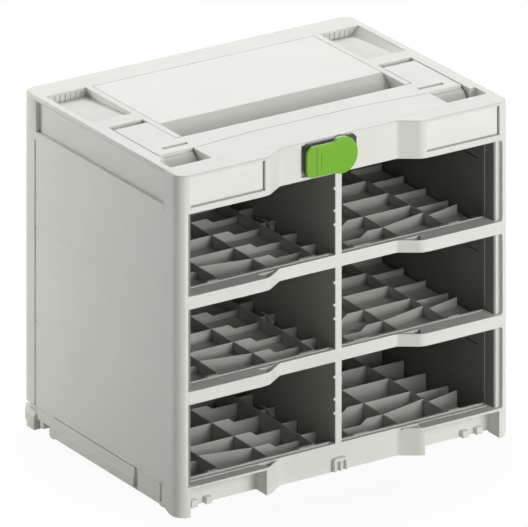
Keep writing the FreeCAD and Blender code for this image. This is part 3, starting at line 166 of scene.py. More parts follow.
# %% [markdown]
# ## A small language for shader maths
#
# Every finish below is worked out by nodes. Writing them as Python expressions keeps a material as
# short as the thought behind it: an object of the class `Wire` stands for one output socket, and
# adding, subtracting or multiplying wires adds the Math nodes.

# %% Wrap one socket
class Wire:
    """One output of a node tree; arithmetic on it adds Math nodes."""

    def __init__(self, tree, socket):
        self.tree = tree
        self.socket = socket

    def maths(self, operation, *values, clamp=False):
        node = self.tree.nodes.new("ShaderNodeMath")
        node.operation = operation
        node.use_clamp = clamp
        for number, value in enumerate(values):
            if isinstance(value, Wire):
                self.tree.links.new(value.socket, node.inputs[number])
            else:
                node.inputs[number].default_value = value
        return Wire(self.tree, node.outputs[0])

    def __add__(self, other):
        return self.maths("ADD", self, other)

    __radd__ = __add__

    def __sub__(self, other):
        return self.maths("SUBTRACT", self, other)

    def __rsub__(self, other):
        return self.maths("SUBTRACT", other, self)

    def __mul__(self, other):
        return self.maths("MULTIPLY", self, other)

    __rmul__ = __mul__

    def clamped(self):
        return self.maths("ADD", self, 0.0, clamp=True)

    def ramp_up(self, start, end):
        """0 below start, 1 above end, straight in between."""
        return ((self - start) * (1 / (end - start))).clamped()


print("operators: + - *")

# %% [markdown]
# A second class holds a whole node tree. It has one method that adds any node, and short names for
# the few nodes that most finishes share. A material is such a tree, and so is the world, which is
# why the class takes the tree that it is given and `Finish` only adds the material.

# %% Add nodes to a tree
COLOUR_FACTOR, COLOUR_FIRST, COLOUR_SECOND, COLOUR_RESULT = 0, 6, 7, 2


class Shading:
    """A shader tree in the making and the one method that adds any node."""

    def __init__(self, tree, ending):
        self.tree = tree
        self.tree.nodes.clear()
        self.output = self.tree.nodes.new(ending)

    def node(self, kind, settings=None, values=None, output=0):
        """Add a node, set its settings first, then its sockets from numbers or wires."""
        made = self.tree.nodes.new("ShaderNode" + kind)
        for key, value in (settings or {}).items():
            setattr(made, key, value)
        for key, value in (values or {}).items():
            socket = made.inputs[key]
            if isinstance(value, Wire):
                self.tree.links.new(value.socket, socket)
            else:
                socket.default_value = value
        return Wire(self.tree, made.outputs[output])

    def place(self):
        return self.node("TexCoord", output="Object")

    def noise(self, scale, detail=2.0, roughness=0.5, where=None):
        return self.node("TexNoise", {"noise_dimensions": "3D"},
                         {"Vector": where or self.place(), "Scale": scale, "Detail": detail,
                          "Roughness": roughness})

    def mix(self, amount, first, second):
        return self.node("Mix", {"data_type": "RGBA"},
                         {COLOUR_FACTOR: amount, COLOUR_FIRST: first, COLOUR_SECOND: second},
                         output=COLOUR_RESULT)

    def bump(self, height, depth, strength=1.0, over=None):
        values = {"Height": height, "Distance": depth, "Strength": strength}
        if over is not None:
            values["Normal"] = over
        return self.node("Bump", None, values)

    def surface(self, shader):
        self.tree.links.new(shader.socket, self.output.inputs["Surface"])


class Finish(Shading):
    """A material in the making."""

    def __init__(self, name):
        self.material = bpy.data.materials.new(name)
        self.material.use_nodes = True
        super().__init__(self.material.node_tree, "ShaderNodeOutputMaterial")


print("mixes read sockets", COLOUR_FACTOR, COLOUR_FIRST, COLOUR_SECOND)

# %% [markdown]
# ## Moulded plastic
#
# All the housings are one kind of plastic with different pigments. A real moulding has a fine spark
# eroded grain that scatters its highlights, a slow variation in tone where the melt flowed and
# cooled, edges rubbed a little smoother by handling and painted lighter, partly as wear and partly
# as a painted highlight, and a trace of dust.
#
# The mask of the rubbed and highlit edges comes from comparing the surface's own direction with the
# same direction averaged over half a millimetre: they differ only along edges. Gaps and inner
# corners are found with the Ambient Occlusion node, which says how much open space a point looks
# out on. They are painted darker, as painted shade with a little grime, and that draws the joints
# between the mouldings as thin dark lines.

# %% Write the moulded plastic
FLOW_SCALE = 9.0
CLOUD_SCALE = 42.0
SPECKLE_SCALE = 1500.0
PIT_SCALE = 1900.0
FLOW_BAND, FLOW_DARK, FLOW_LIGHT = (0.35, 0.65), 0.975, 1.015
DUST_BAND, DUST_COLOUR = (0.45, 0.8), (0.62, 0.61, 0.57, 1.0)
SPECKLE_BAND, SPECKLE_SHARE, SPECKLE_DARK = (0.4, 0.75), 0.05, 0.82
# The rubbed colour lightens the edges: partly wear, partly a painted highlight.
EDGE_BAND, PATCH_BAND, RUBBED_AND_HIGHLIGHT_COLOUR = (0.004, 0.14), (0.3, 0.7), (0.9, 0.9, 0.88, 1.0)
PIT_SHARE, PIT_DEEP, PIT_STRENGTH = 0.6, 0.00003, 0.55
GLOSS_SPREAD, GLOSS_RUBBED = 0.08, 0.08
EDGE_REACH, EDGE_RAYS = 0.0005, 6
GAP_REACH, GAP_RAYS = 0.002, 8
# Gaps and inner corners are painted darker: painted shade with a little grime.
GRIME_AND_SHADE, GRIME_AND_SHADE_DARK = (0.42, 0.85, 0.8), 0.1


def shade(colour, factor):
    return (colour[0] * factor, colour[1] * factor, colour[2] * factor, 1.0)


def moulded_plastic(name, colour, rough, grain=1.0, edge_wear_and_highlight=0.05, dust=0.06, coat=0.0,
                    reach=GAP_REACH, grime_and_shade=GRIME_AND_SHADE):
    """A pigmented moulding: grain, flow marks, worn edges with a painted highlight, a little dust,
    and painted shade with grime in gaps.
    """
    finish = Finish(name)
    flow = finish.noise(FLOW_SCALE, 3.0)
    cloud = finish.noise(CLOUD_SCALE, 4.0, 0.6)
    speckle = finish.noise(SPECKLE_SCALE, 2.0, 0.7)
    softened = finish.node("Bevel", {"samples": EDGE_RAYS}, {"Radius": EDGE_REACH})
    flat = finish.node("NewGeometry", output="Normal")
    agree = finish.node("VectorMath", {"operation": "DOT_PRODUCT"}, {0: softened, 1: flat},
                        output="Value")
    # Mask of the edges that are painted lighter: wear and a painted highlight.
    rubbed_and_highlit = (1.0 - agree).ramp_up(*EDGE_BAND) * cloud.ramp_up(*PATCH_BAND)
    tone = finish.mix(flow.ramp_up(*FLOW_BAND), shade(colour, FLOW_DARK), shade(colour, FLOW_LIGHT))
    tone = finish.mix(cloud.ramp_up(*DUST_BAND) * dust, tone, DUST_COLOUR)
    tone = finish.mix(speckle.ramp_up(*SPECKLE_BAND) * SPECKLE_SHARE, tone,
                      shade(colour, SPECKLE_DARK))
    tone = finish.mix(rubbed_and_highlit * edge_wear_and_highlight, tone, RUBBED_AND_HIGHLIGHT_COLOUR)
    smoothness = rough + (cloud - 0.5) * GLOSS_SPREAD - rubbed_and_highlit * GLOSS_RUBBED
    pits = finish.node("TexVoronoi", {"feature": "SMOOTH_F1"},
                       {"Vector": finish.place(), "Scale": PIT_SCALE, "Smoothness": 0.7})
    grained = pits * PIT_SHARE + speckle * (1 - PIT_SHARE)
    relief = finish.bump(grained, PIT_DEEP * grain, PIT_STRENGTH, over=softened)
    # Painted shade with a little grime: the less open space a point looks out on, the darker it is
    # painted.
    sky = finish.node("AmbientOcclusion", {"samples": GAP_RAYS}, {"Distance": reach}, output="AO")
    start, end, depth = grime_and_shade
    tone = finish.mix((1.0 - sky).ramp_up(start, end) * depth, tone, shade(colour, GRIME_AND_SHADE_DARK))
    finish.surface(finish.node("BsdfPrincipled", None, {
        "Base Color": tone, "Roughness": smoothness, "Normal": relief,
        "Specular IOR Level": 0.45, "Coat Weight": coat, "Coat Roughness": 0.25}))
    return finish.material


print("gaps are felt within", GAP_REACH * 1000, "mm, unless a finish says otherwise")

# %% [markdown]
# The pigments follow. Housings and plate differ only a little, as parts from different moulds do.
# The badges are painted a little lighter, to make up for the shade of their recesses: painted
# light.
# Inside, the linings are dark, and the side walls, the divider and the floors are each painted
# lighter than the last, to make up for how little light reaches them: painted light.

# %% Mix the pigments
SHELL = (0.745, 0.755, 0.7)
PLATE = (0.755, 0.765, 0.705)
# Painted light: the badges are lighter to make up for the shade of their recesses.
BADGE = (0.79, 0.8, 0.755)
HANDLE = (0.75, 0.76, 0.705)
LINING = (0.12, 0.122, 0.106)
# Painted light: walls, divider and floors are each lighter to make up for the light they lack.
WALL = (0.24, 0.242, 0.217)
DIVIDER = (0.44, 0.444, 0.39)
FLOOR = (0.46, 0.464, 0.425)
GREEN = (0.165, 0.43, 0.004)
BLACK = (0.03, 0.03, 0.03)
# How far the painted shade reaches on the walls and floors inside the bays.
WALL_REACH = 0.006
FLOOR_REACH = 0.009

# The shell's edges are painted much lighter: a little wear, mostly a painted highlight.
shell_finish = moulded_plastic("grained_shell_plastic", SHELL, 0.46, edge_wear_and_highlight=0.4)
plate_finish = moulded_plastic("smooth_plate_plastic", PLATE, 0.4, grain=0.5)
badge_finish = moulded_plastic("smooth_badge_plastic", BADGE, 0.36, grain=0.3)
handle_finish = moulded_plastic("grained_handle_plastic", HANDLE, 0.46)
lining_finish = moulded_plastic("dark_lining_plastic", LINING, 0.5, edge_wear_and_highlight=0.03, dust=0.015)
# Inside the bays the painted shade reaches further, and on the floors it starts sooner; the floors'
# edges also get a painted highlight.
wall_finish = moulded_plastic("grey_wall_plastic", WALL, 0.5, edge_wear_and_highlight=0.04, dust=0.02,
                              reach=WALL_REACH)
divider_finish = moulded_plastic("grey_divider_plastic", DIVIDER, 0.5, edge_wear_and_highlight=0.04, dust=0.02,
                                 reach=WALL_REACH)
floor_finish = moulded_plastic("grey_floor_plastic", FLOOR, 0.5, edge_wear_and_highlight=0.2, dust=0.04,
                               reach=FLOOR_REACH, grime_and_shade=(0.3, 0.8, 0.75))
latch_finish = moulded_plastic("green_latch_plastic", GREEN, 0.36, grain=0.35, edge_wear_and_highlight=0.06,
                               dust=0.0, coat=0.05)
black_finish = moulded_plastic("black_mechanism_plastic", BLACK, 0.42, edge_wear_and_highlight=0.05)
plastics = [shell_finish, plate_finish, badge_finish, handle_finish, lining_finish, wall_finish,
            divider_finish, floor_finish, latch_finish, black_finish]
print("plastics:", len(plastics))

# %% [markdown]
# ## Steel
#
# The two hinge pins are plain drawn steel: fine scratches run along them, and they shine more than
# any plastic here. The scratches are plain noise on coordinates that are stretched along the pin.

# %% Write the drawn steel
ALONG_PIN = (60.0, 2400.0, 2400.0)
STAIN_SCALE = 300.0
STAIN_BAND = (0.4, 0.7)
BRIGHT_STEEL = (0.56, 0.56, 0.56, 1.0)
STAINED_STEEL = (0.44, 0.43, 0.42, 1.0)
SCRATCH_DEEP = 0.00001
STEEL_ROUGH = 0.26
SCRATCH_ROUGH = 0.16


def drawn_steel(name):
    finish = Finish(name)
    stretched = finish.node("Mapping", None, {"Vector": finish.place(), "Scale": ALONG_PIN})
    scratches = finish.noise(1.0, 3.0, 0.6, where=stretched)
    stain = finish.noise(STAIN_SCALE, 3.0)
    colour = finish.mix(stain.ramp_up(*STAIN_BAND), BRIGHT_STEEL, STAINED_STEEL)
    relief = finish.bump(scratches, SCRATCH_DEEP, 0.4)
    finish.surface(finish.node("BsdfPrincipled", None, {
        "Base Color": colour, "Metallic": 1.0, "Roughness": STEEL_ROUGH + scratches * SCRATCH_ROUGH,
        "Normal": relief}))
    return finish.material


steel_finish = drawn_steel("drawn_pin_steel")
print("steel nodes:", len(steel_finish.node_tree.nodes))

# %% [markdown]
# ## Rounded mouldings
#
# No injection moulding has a truly sharp edge: the steel of the mould is rubbed down by a fraction
# of a millimetre, and it is this thin line of light that makes a plastic housing look real. The
# construction solids come as loose triangles with sharp edges, so each gets a stand-in: the
# triangles are joined, the flat ones are merged back into whole faces, and a Bevel modifier rounds
# the edges sharper than thirty degrees.
#
# Two helpers come first. One adds an object, the other turns an object with modifiers into a plain
# mesh, which is how every modifier in this file ends.

# %% Add objects and evaluate them
def add_object(name, mesh):
    piece = bpy.data.objects.new(name, mesh)
    scene.collection.objects.link(piece)
    return piece


def evaluated_mesh(piece, name):
    """What the piece looks like with its modifiers, as a plain mesh."""
    graph = bpy.context.evaluated_depsgraph_get()
    mesh = bpy.data.meshes.new_from_object(piece.evaluated_get(graph))
    mesh.name = name
    return mesh


# %% [markdown]
# Where ribs stand close together a round of full width would fold over itself. Every try is
# therefore inspected: a triangle that faces the wrong way, or a corner that has left the surface of
# the solid, marks a fault, and the edges beside it stay sharp in the next try.

# %% Find the faults of a bevel
FOLDED = 0.7
SLIVER = 1e-10


def faults(mesh, solid, reach):
    """Corners of folded triangles, and of faces that have left the surface of the solid."""
    marked = set()
    mesh.calc_loop_triangles()
    for triangle in mesh.loop_triangles:
        face = mesh.polygons[triangle.polygon_index]
        if triangle.area > SLIVER and triangle.normal.dot(face.normal) < FOLDED:
            marked.update(triangle.vertices)
    stray = {corner.index for corner in mesh.vertices if solid.find_nearest(corner.co)[3] > reach}
    for face in mesh.polygons:
        if stray.intersection(face.vertices):
            marked.update(face.vertices)
    return [mesh.vertices[number].co.copy() for number in marked]


def calm(sharp, weights, spots, reach):
    """Take the bevel off every edge that ends near a fault."""
    tree = KDTree(len(spots))
    for number, spot in enumerate(spots):
        tree.insert(spot, number)
    tree.balance()
    for edge in sharp:
        if min(tree.find(end.co)[2] for end in edge.verts) < reach:
            edge[weights] = 0.0


print("a triangle counts as folded past", round(math.degrees(math.acos(FOLDED))), "degrees")

# %% [markdown]
# Some mouldings have a slot that is cut before they are rounded, so that its lips are rounded too.
# A Boolean modifier does that, with the exact solver, which stands thin walls best.

# %% Cut shapes out of a solid
def cut_out(work, name, knife):
    """Take the closed shapes of a knife mesh out of a welded solid."""
    whole = bpy.data.meshes.new(name + "_whole")
    work.to_mesh(whole)
    model = add_object(name + "_whole", whole)
    blade = add_object(name + "_knife", knife)
    cut = model.modifiers.new("slits", "BOOLEAN")
    cut.operation = "DIFFERENCE"
    cut.solver = "EXACT"
    cut.object = blade
    pierced = evaluated_mesh(model, name + "_pierced")
    bpy.data.objects.remove(model)
    bpy.data.objects.remove(blade)
    work.clear()
    work.from_mesh(pierced)


print("cutter ready")

# %% [markdown]
# The bevel itself is limited by weight, so that single edges can be left out. Afterwards weighted
# normals let the big faces stay flat and the narrow strips carry all of the turn. A corner whose
# normal still leans far away from its own face would shade as a dark wedge, so it is set straight.

# %% Bevel a solid and settle its normals
CREASE = math.radians(50)
LEAN = math.cos(CREASE)
FACE_WEIGHT = 100


def bevelled(work, name, width, steps):
    """The solid with its marked edges rounded, as a plain mesh."""
    blank = bpy.data.meshes.new(name + "_blank")
    work.to_mesh(blank)
    model = add_object(name + "_blank", blank)
    bevel = model.modifiers.new("edge_round", "BEVEL")
    bevel.width = width
    bevel.segments = steps
    bevel.limit_method = "WEIGHT"
    bevel.use_clamp_overlap = False
    mesh = evaluated_mesh(model, name)
    bpy.data.objects.remove(model)
    return mesh


def settled(mesh, name):
    """The same mesh with flat faces that look flat."""
    mesh.set_sharp_from_angle(angle=CREASE)
    model = add_object(name + "_uneven", mesh)
    even = model.modifiers.new("flat_faces", "WEIGHTED_NORMAL")
    even.weight = FACE_WEIGHT
    even.keep_sharp = True
    result = evaluated_mesh(model, name)
    bpy.data.objects.remove(model)
    bent = [corner.vector.copy() for corner in result.corner_normals]
    for face in result.polygons:
        for corner in face.loop_indices:
            if bent[corner].dot(face.normal) < LEAN:
                bent[corner] = face.normal.copy()
    result.normals_split_custom_set(bent)
    return result


print("normals may lean", round(math.degrees(CREASE)), "degrees")

# %% [markdown]
# All of this comes together in one function. It takes the name of a node of the construction model
# and leaves its stand-in on the same body and in the same place, with the given finish as its
# material.
# Planes of the solid may be moved first, and a knife may cut it.

# %% Round one moulding over
WELD = 0.00001
FLAT = math.radians(0.5)
SHARP = math.radians(30)
TRIES = 9
CALM_WIDTHS = 2.5


def welded(node, moves):
    """The joined triangles of a node, with some of its planes moved along an axis."""
    work = bmesh.new()
    work.from_mesh(nodes[node].data)
    bmesh.ops.remove_doubles(work, verts=work.verts, dist=WELD)
    for axis, old, new in moves:
        for corner in work.verts:
            if abs(abs(corner.co[axis]) - old) < WELD:
                corner.co[axis] = math.copysign(new, corner.co[axis])
    return work


def rounded(node, width, steps, finish, moves=(), knife=None):
    """A stand-in for a moulding, welded, with its sharp edges rounded over."""
    name = node + "_moulding"
    work = welded(node, moves)
    if knife:
        cut_out(work, name, knife)
    bmesh.ops.dissolve_limit(work, angle_limit=FLAT, verts=work.verts, edges=work.edges)
    for face in work.faces:
        face.smooth = True
    solid = BVHTree.FromBMesh(work)
    weights = work.edges.layers.float.new("bevel_weight_edge")
    sharp = [edge for edge in work.edges
             if len(edge.link_faces) == 2 and edge.calc_face_angle() > SHARP]
    for edge in sharp:
        edge[weights] = 1.0
    for attempt in range(TRIES):
        mesh = bevelled(work, name, width, steps)
        spots = faults(mesh, solid, width)
        if not spots:
            break
        calm(sharp, weights, spots, width * CALM_WIDTHS)
    kept = sum(1 for edge in sharp if edge[weights] > 0)
    total = len(sharp)
    work.free()
    piece = add_object(name, settled(mesh, name))
    piece.data.materials.clear()
    piece.data.materials.append(finish)
    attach(piece, body_of(nodes[node])[0])
    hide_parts(node)
    print("%-32s %5d faces, %4d of %4d edges rounded" % (name, len(mesh.polygons), kept, total))
    return piece


print("tries for a bevel:", TRIES)

# %% [markdown]
# ## Play for the handle
#
# A moulded handle that must swing freely has more play than the construction model gives it. Its
# arms are drawn in by half a millimetre on each side, and the finger slot of each arm is opened to
# its full width. A fitting is a list of planes: which axis, where the plane lies on either side of
# the middle, and where it moves to.

# %% Fit the handle
ALONG_X, ALONG_Y = 0, 1
ARM_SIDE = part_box("handle_frame")[1][0]
ARM_PLAY = 0.0005
SLOT_FRONT = 0.0712
SLOT_REAR = 0.0688
SLOT_SPREAD = 0.0009

fitting = {"handle_frame": [(ALONG_X, ARM_SIDE, ARM_SIDE - ARM_PLAY),
                            (ALONG_Y, SLOT_FRONT, SLOT_FRONT + SLOT_SPREAD),
                            (ALONG_Y, SLOT_REAR, SLOT_REAR - SLOT_SPREAD)]}
slot_width = SLOT_FRONT - SLOT_REAR + 2 * SLOT_SPREAD
print("finger slots open to", round(slot_width * 1000, 1), "mm")

# %% [markdown]
# ## Slits in the side linings
#
# In each side lining, a little above the middle of every bay, a narrow slit with a short upright
# tick frees a springy tongue that holds a drawer shut. Its knife is a closed prism: an outline on
# the inner side of the wall and the same outline outside it, joined by walls and capped. The same
# few lines make every prism in this file.

# %% Build a prism between two outlines
def walled(work, first, second):
    """Walls between two rings of corners."""
    for number in range(len(first)):
        following = (number + 1) % len(first)
        work.faces.new((first[number], first[following], second[following], second[number]))


def prism(work, first, second):
    """A closed shape between two outlines, given as lists of points."""
    foot = [work.verts.new(point) for point in first]
    head = [work.verts.new(point) for point in second]
    walled(work, foot, head)
    work.faces.new(foot[::-1])
    work.faces.new(head)


def closed_mesh(work, name):
    """End a mesh in the making, with its faces turned outwards."""
    bmesh.ops.recalc_face_normals(work, faces=work.faces)
    mesh = bpy.data.meshes.new(name)
    work.to_mesh(mesh)
    work.free()
    return mesh


print("prism ready")

# %% [markdown]
# Every height inside a bay is measured from its sill, the top of the floor's front bar. The highest
# point of a floor is the clip on that bar, so the sill lies a clip's rise below it.

# %% Make the knives
CLIP_RISE = 0.0009
SLIT_FRONT = -0.1084
SLIT_REAR = -0.0846
SLIT_RISE = 0.0521
SLIT_HALF = 0.0006
TICK_TALL = 0.0022
TICK_REAR = SLIT_REAR - 2 * SLIT_HALF
LINER_FACE = 0.1845
LINER_REACH = 0.0025

sills = [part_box("bay_floor_left_" + row)[1][2] - CLIP_RISE for row in ("bottom", "middle", "top")]


def slit_knife(side):
    """A slit with a short upright tick at its rear end, for each of the three bays of one side."""
    knife = bmesh.new()
    near_face = side * (LINER_FACE - LINER_REACH)
    far_face = side * (LINER_FACE + 2 * LINER_REACH)
    for level in sills:
        low = level + SLIT_RISE - SLIT_HALF
        high = level + SLIT_RISE + SLIT_HALF
        outline = [(SLIT_FRONT, low), (SLIT_REAR, low), (SLIT_REAR, high + TICK_TALL),
                   (TICK_REAR, high + TICK_TALL), (TICK_REAR, high), (SLIT_FRONT, high)]
        prism(knife, [(near_face, y, z) for y, z in outline],
              [(far_face, y, z) for y, z in outline])
    return closed_mesh(knife, "slit_knife")


knives = {"side_liner_left": slit_knife(-1), "side_liner_right": slit_knife(1)}
print("sills at", [round(level * 1000, 1) for level in sills], "mm")

# %% [markdown]
# ## Dress every moulding
#
# The rounding follows the size of the part: half a millimetre on the housings, most on the handle
# that a hand takes hold of, and less on the thin ribs and linings, where a wide bevel would eat the
# wall away. One row for each finish gives the width of the round and its steps.

# %% Round and dress every moulding
floors = [name for name in nodes if name.startswith("bay_floor")]
dressing = [
    (shell_finish, 0.0005, 2, ["front_frame", "base_tray", "coupling_lug", "rear_foot_left",
                               "rear_foot_right", "side_rail_left", "side_rail_right"]),
    (shell_finish, 0.00028, 2, ["outer_shell", "top_cover"]),
    (plate_finish, 0.0004, 2, ["top_plate"]),
    (badge_finish, 0.0003, 2, ["badge_insert_left", "badge_insert_right"]),
    (handle_finish, 0.0008, 3, ["handle_frame"]),
    (wall_finish, 0.00025, 1, ["side_liner_left", "side_liner_right"]),
    (divider_finish, 0.00025, 1, ["centre_divider"]),
    (lining_finish, 0.00025, 1, ["rear_liner", "ceiling_panel"]),
    (floor_finish, 0.00035, 2, floors),
    (latch_finish, 0.0007, 3, ["latch_knob"]),
    (black_finish, 0.0002, 1, ["latch_spindle", "latch_retainer"]),
    (steel_finish, 0.0003, 2, ["handle_pivot_pins"]),
]
for finish, width, steps, names in dressing:
    for name in names:
        rounded(name, width, steps, finish, fitting.get(name, ()), knives.get(name))

# %% [markdown]
# ## A row of small catches, grown by nodes
#
# Behind each floor's front bar stand rows of little tapered catches that a drawer rides over. Every
# catch is alike and they only differ in place, which is just what Geometry Nodes are for: one tree
# holds the shape of the catch, its pitch and its count as named inputs, and grows a row at every
# point that it is given. The points are the only mesh that has to be listed.

# %% Write a class for such trees
class Growth:
    """A Geometry Nodes tree in the making, with named inputs."""

    def __init__(self, name):
        self.tree = bpy.data.node_groups.new(name, "GeometryNodeTree")
        self.face = self.tree.interface
        self.face.new_socket("Geometry", in_out="INPUT", socket_type="NodeSocketGeometry")
        self.face.new_socket("Geometry", in_out="OUTPUT", socket_type="NodeSocketGeometry")
        self.ids = {}
        self.entry = None

    def ask(self, name, kind, value):
        """A named input with its usual value."""
        socket = self.face.new_socket(name, in_out="INPUT", socket_type="NodeSocket" + kind)
        if value is not None:
            socket.default_value = value
        self.ids[name] = socket.identifier

    def given(self, name):
        if self.entry is None:
            self.entry = self.tree.nodes.new("NodeGroupInput")
        return self.entry.outputs[name]

    def node(self, kind, settings=None, values=None, output=0):
        """Add a node, set its settings first, then its sockets from values or other sockets."""
        made = self.tree.nodes.new(kind)
        for key, value in (settings or {}).items():
            setattr(made, key, value)
        for key, value in (values or {}).items():
            if isinstance(value, bpy.types.NodeSocket):
                self.tree.links.new(value, made.inputs[key])
            else:
                made.inputs[key].default_value = value
        return made.outputs[output]

    def maths(self, operation, first, second):
        return self.node("ShaderNodeMath", {"operation": operation}, {0: first, 1: second})

    def vector(self, x, y, z):
        return self.node("ShaderNodeCombineXYZ", None, {0: x, 1: y, 2: z})

    def leave(self, geometry):
        """Realize, set the material and end the tree."""
        real = self.node("GeometryNodeRealizeInstances", None, {0: geometry})
        dressed = self.node("GeometryNodeSetMaterial", None,
                            {"Geometry": real, "Material": self.given("Material")})
        exit_node = self.tree.nodes.new("NodeGroupOutput")
        self.tree.links.new(dressed, exit_node.inputs[0])


def grow(name, tree, points, settings, body):
    """Grow a tree on a list of points and keep the result as a plain piece of a body."""
    seeds = bpy.data.meshes.new(name + "_points")
    seeds.from_pydata(points, [], [])
    holder = add_object(name + "_points", seeds)
    modifier = holder.modifiers.new("growth", "NODES")
    modifier.node_group = tree.tree
    for key, value in settings.items():
        modifier[tree.ids[key]] = value
    bpy.context.view_layer.update()
    piece = add_object(name, evaluated_mesh(holder, name))
    bpy.data.objects.remove(holder)
    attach(piece, body)
    return piece


print("growth ready, node groups so far:", len(bpy.data.node_groups))

# %% [markdown]
# The catch is a cube of three by three by three corners. The middle layer and the lower one keep
# their size, and the upper one is drawn in, so that the catch ends in a blunt point.

# %% Write the tree of catches
CATCH_COUNT = 4
CATCH_PITCH = 0.0042
CATCH_WIDE = 0.0024
CATCH_DEEP = 0.003
CATCH_TALL = 0.004
CATCH_TAPER = 0.45
CATCH_CORNERS = 3

catches = Growth("row_of_catches")
catches.ask("Count", "Int", CATCH_COUNT)
catches.ask("Pitch", "Float", CATCH_PITCH)
catches.ask("Width", "Float", CATCH_WIDE)
catches.ask("Depth", "Float", CATCH_DEEP)
catches.ask("Height", "Float", CATCH_TALL)
catches.ask("Taper", "Float", CATCH_TAPER)
catches.ask("Material", "Material", None)
block = catches.node("GeometryNodeMeshCube", None, {
    "Size": catches.vector(catches.given("Width"), catches.given("Depth"), catches.given("Height")),
    "Vertices X": CATCH_CORNERS, "Vertices Y": CATCH_CORNERS, "Vertices Z": CATCH_CORNERS})
spot = catches.node("GeometryNodeInputPosition")
apart = catches.node("ShaderNodeSeparateXYZ", None, {0: spot})
across, along, upward = apart.node.outputs
upper = catches.maths("MAXIMUM", catches.maths("DIVIDE", upward, catches.given("Height")), 0.0)
narrow = catches.maths("SUBTRACT", 1.0, catches.maths(
    "MULTIPLY", catches.maths("MULTIPLY", upper, 2.0), catches.given("Taper")))
tapered = catches.node("GeometryNodeSetPosition", None, {
    "Geometry": block,
    "Position": catches.vector(catches.maths("MULTIPLY", across, narrow),
                               catches.maths("MULTIPLY", along, narrow), upward)})
line = catches.node("GeometryNodeMeshLine", None, {
    "Count": catches.given("Count"), "Offset": catches.vector(catches.given("Pitch"), 0.0, 0.0)})
row = catches.node("GeometryNodeInstanceOnPoints", None, {"Points": line, "Instance": tapered})
rows = catches.node("GeometryNodeInstanceOnPoints", None,
                    {"Points": catches.given("Geometry"), "Instance": row})
catches.leave(rows)
print("catch tree nodes:", len(catches.tree.nodes))

# %% [markdown]
# Each floor has two rows: a short one near the outer wall and one beside the divider. Both sit on
# the back of the front bar, a little lower than its clips.

# %% Grow the catches
CATCH_INNER = 0.0235
CATCH_OUTER = 0.1375
CATCH_DROP = 0.0015
BAR_BACK = -0.1216

span = CATCH_PITCH * (CATCH_COUNT - 1)
points = []
for level in sills:
    for start in (CATCH_INNER, CATCH_OUTER):
        points.append((start, BAR_BACK, level - CATCH_DROP))
        points.append((-start - span, BAR_BACK, level - CATCH_DROP))
catch_rows = grow("floor_catches", catches, points,
                  {"Count": CATCH_COUNT, "Pitch": CATCH_PITCH, "Material": floor_finish},
                  "case")
print("catches:", len(points) * CATCH_COUNT, "faces:", len(catch_rows.data.polygons))

# %% [markdown]
# ## Springy tongues
#
# Beside the divider every floor has one springy tongue, a thin bowed strip that presses up against
# the drawer. It stands on the cross rib that it bridges. A bowed strip is a short list of heights
# along its length, so it is swept directly in mesh code: four corners at every step, joined into
# walls, with a cap at both ends. Its crown lies a little behind the middle.

# %% Sweep the tongues
TONGUE_LINE = 0.0118
TONGUE_WIDE = 0.0032
TONGUE_THICK = 0.0013
TONGUE_REAR = -0.004
TONGUE_FRONT = -0.0315
TONGUE_PROUD = 0.0004
TONGUE_DIP = 0.0032
TONGUE_CROWN = 0.9
TONGUE_BEND = 2.4
TONGUE_STEPS = 12


def swept_tongue(work, side, level):
    """One bowed strip; its top is level with the ribs in the middle and dips at both ends."""
    rings = []
    for number in range(TONGUE_STEPS + 1):
        part = number / TONGUE_STEPS
        along = TONGUE_REAR + (TONGUE_FRONT - TONGUE_REAR) * part
        top = level + TONGUE_PROUD - TONGUE_DIP * abs(2 * part - TONGUE_CROWN) ** TONGUE_BEND
        ring = []
        for across, height in ((-0.5, 0), (0.5, 0), (0.5, -1), (-0.5, -1)):
            ring.append(work.verts.new((side * TONGUE_LINE + TONGUE_WIDE * across, along,
                                        top + TONGUE_THICK * height)))
        rings.append(ring)
    for first, second in zip(rings, rings[1:]):
        walled(work, first, second)
    work.faces.new(rings[0][::-1])
    work.faces.new(rings[-1])


def in_every_bay(make):
    """Run a maker for the left and the right bay of each row, into one mesh."""
    work = bmesh.new()
    for level in sills:
        for side in (-1, 1):
            make(work, side, level)
    return work


tongue_mesh = closed_mesh(in_every_bay(swept_tongue), "floor_tongues")
tongue_mesh.materials.append(floor_finish)
tongues = add_object("floor_tongues", tongue_mesh)
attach(tongues, "case")
print("tongues:", 2 * len(sills), "faces:", len(tongue_mesh.polygons))

# %% [markdown]
# ## Beads round the mouths of the bays
#
# The front edge of a side lining carries an upright bead, a half round less than a millimetre wide,
# that stiffens the thin wall and guides a drawer in. It catches the light and draws a bright line
# inside each mouth, made brighter by a painted highlight: the bead takes the lighter floor pigment,
# not that of its lining.

# %% Run the beads
BEAD_FACE = 0.181
BEAD_SINK = 0.0002
BEAD_LINE = -0.1262
BEAD_RADIUS = 0.00045
BEAD_STRETCH = 1.4
BEAD_TALL = 0.078
BEAD_ARC = 6


def half_round(work, side, level):
    """A half round standing on the inner face of a side lining, closed at both ends."""
    outline = []
    for number in range(BEAD_ARC + 1):
        turn = math.pi * number / BEAD_ARC
        proud = BEAD_RADIUS * BEAD_STRETCH * math.sin(turn)
        outline.append((side * (BEAD_FACE + BEAD_SINK - proud),
                        BEAD_LINE + BEAD_RADIUS * math.cos(turn)))
    prism(work, [(x, y, level) for x, y in outline],
          [(x, y, level + BEAD_TALL) for x, y in outline])


bead_mesh = closed_mesh(in_every_bay(half_round), "mouth_beads")
# Painted highlight: the bead takes the lighter floor pigment rather than its lining's.
bead_mesh.materials.append(floor_finish)
beads = add_object("mouth_beads", bead_mesh)
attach(beads, "case")
print("beads:", 2 * len(sills), "faces:", len(bead_mesh.polygons))

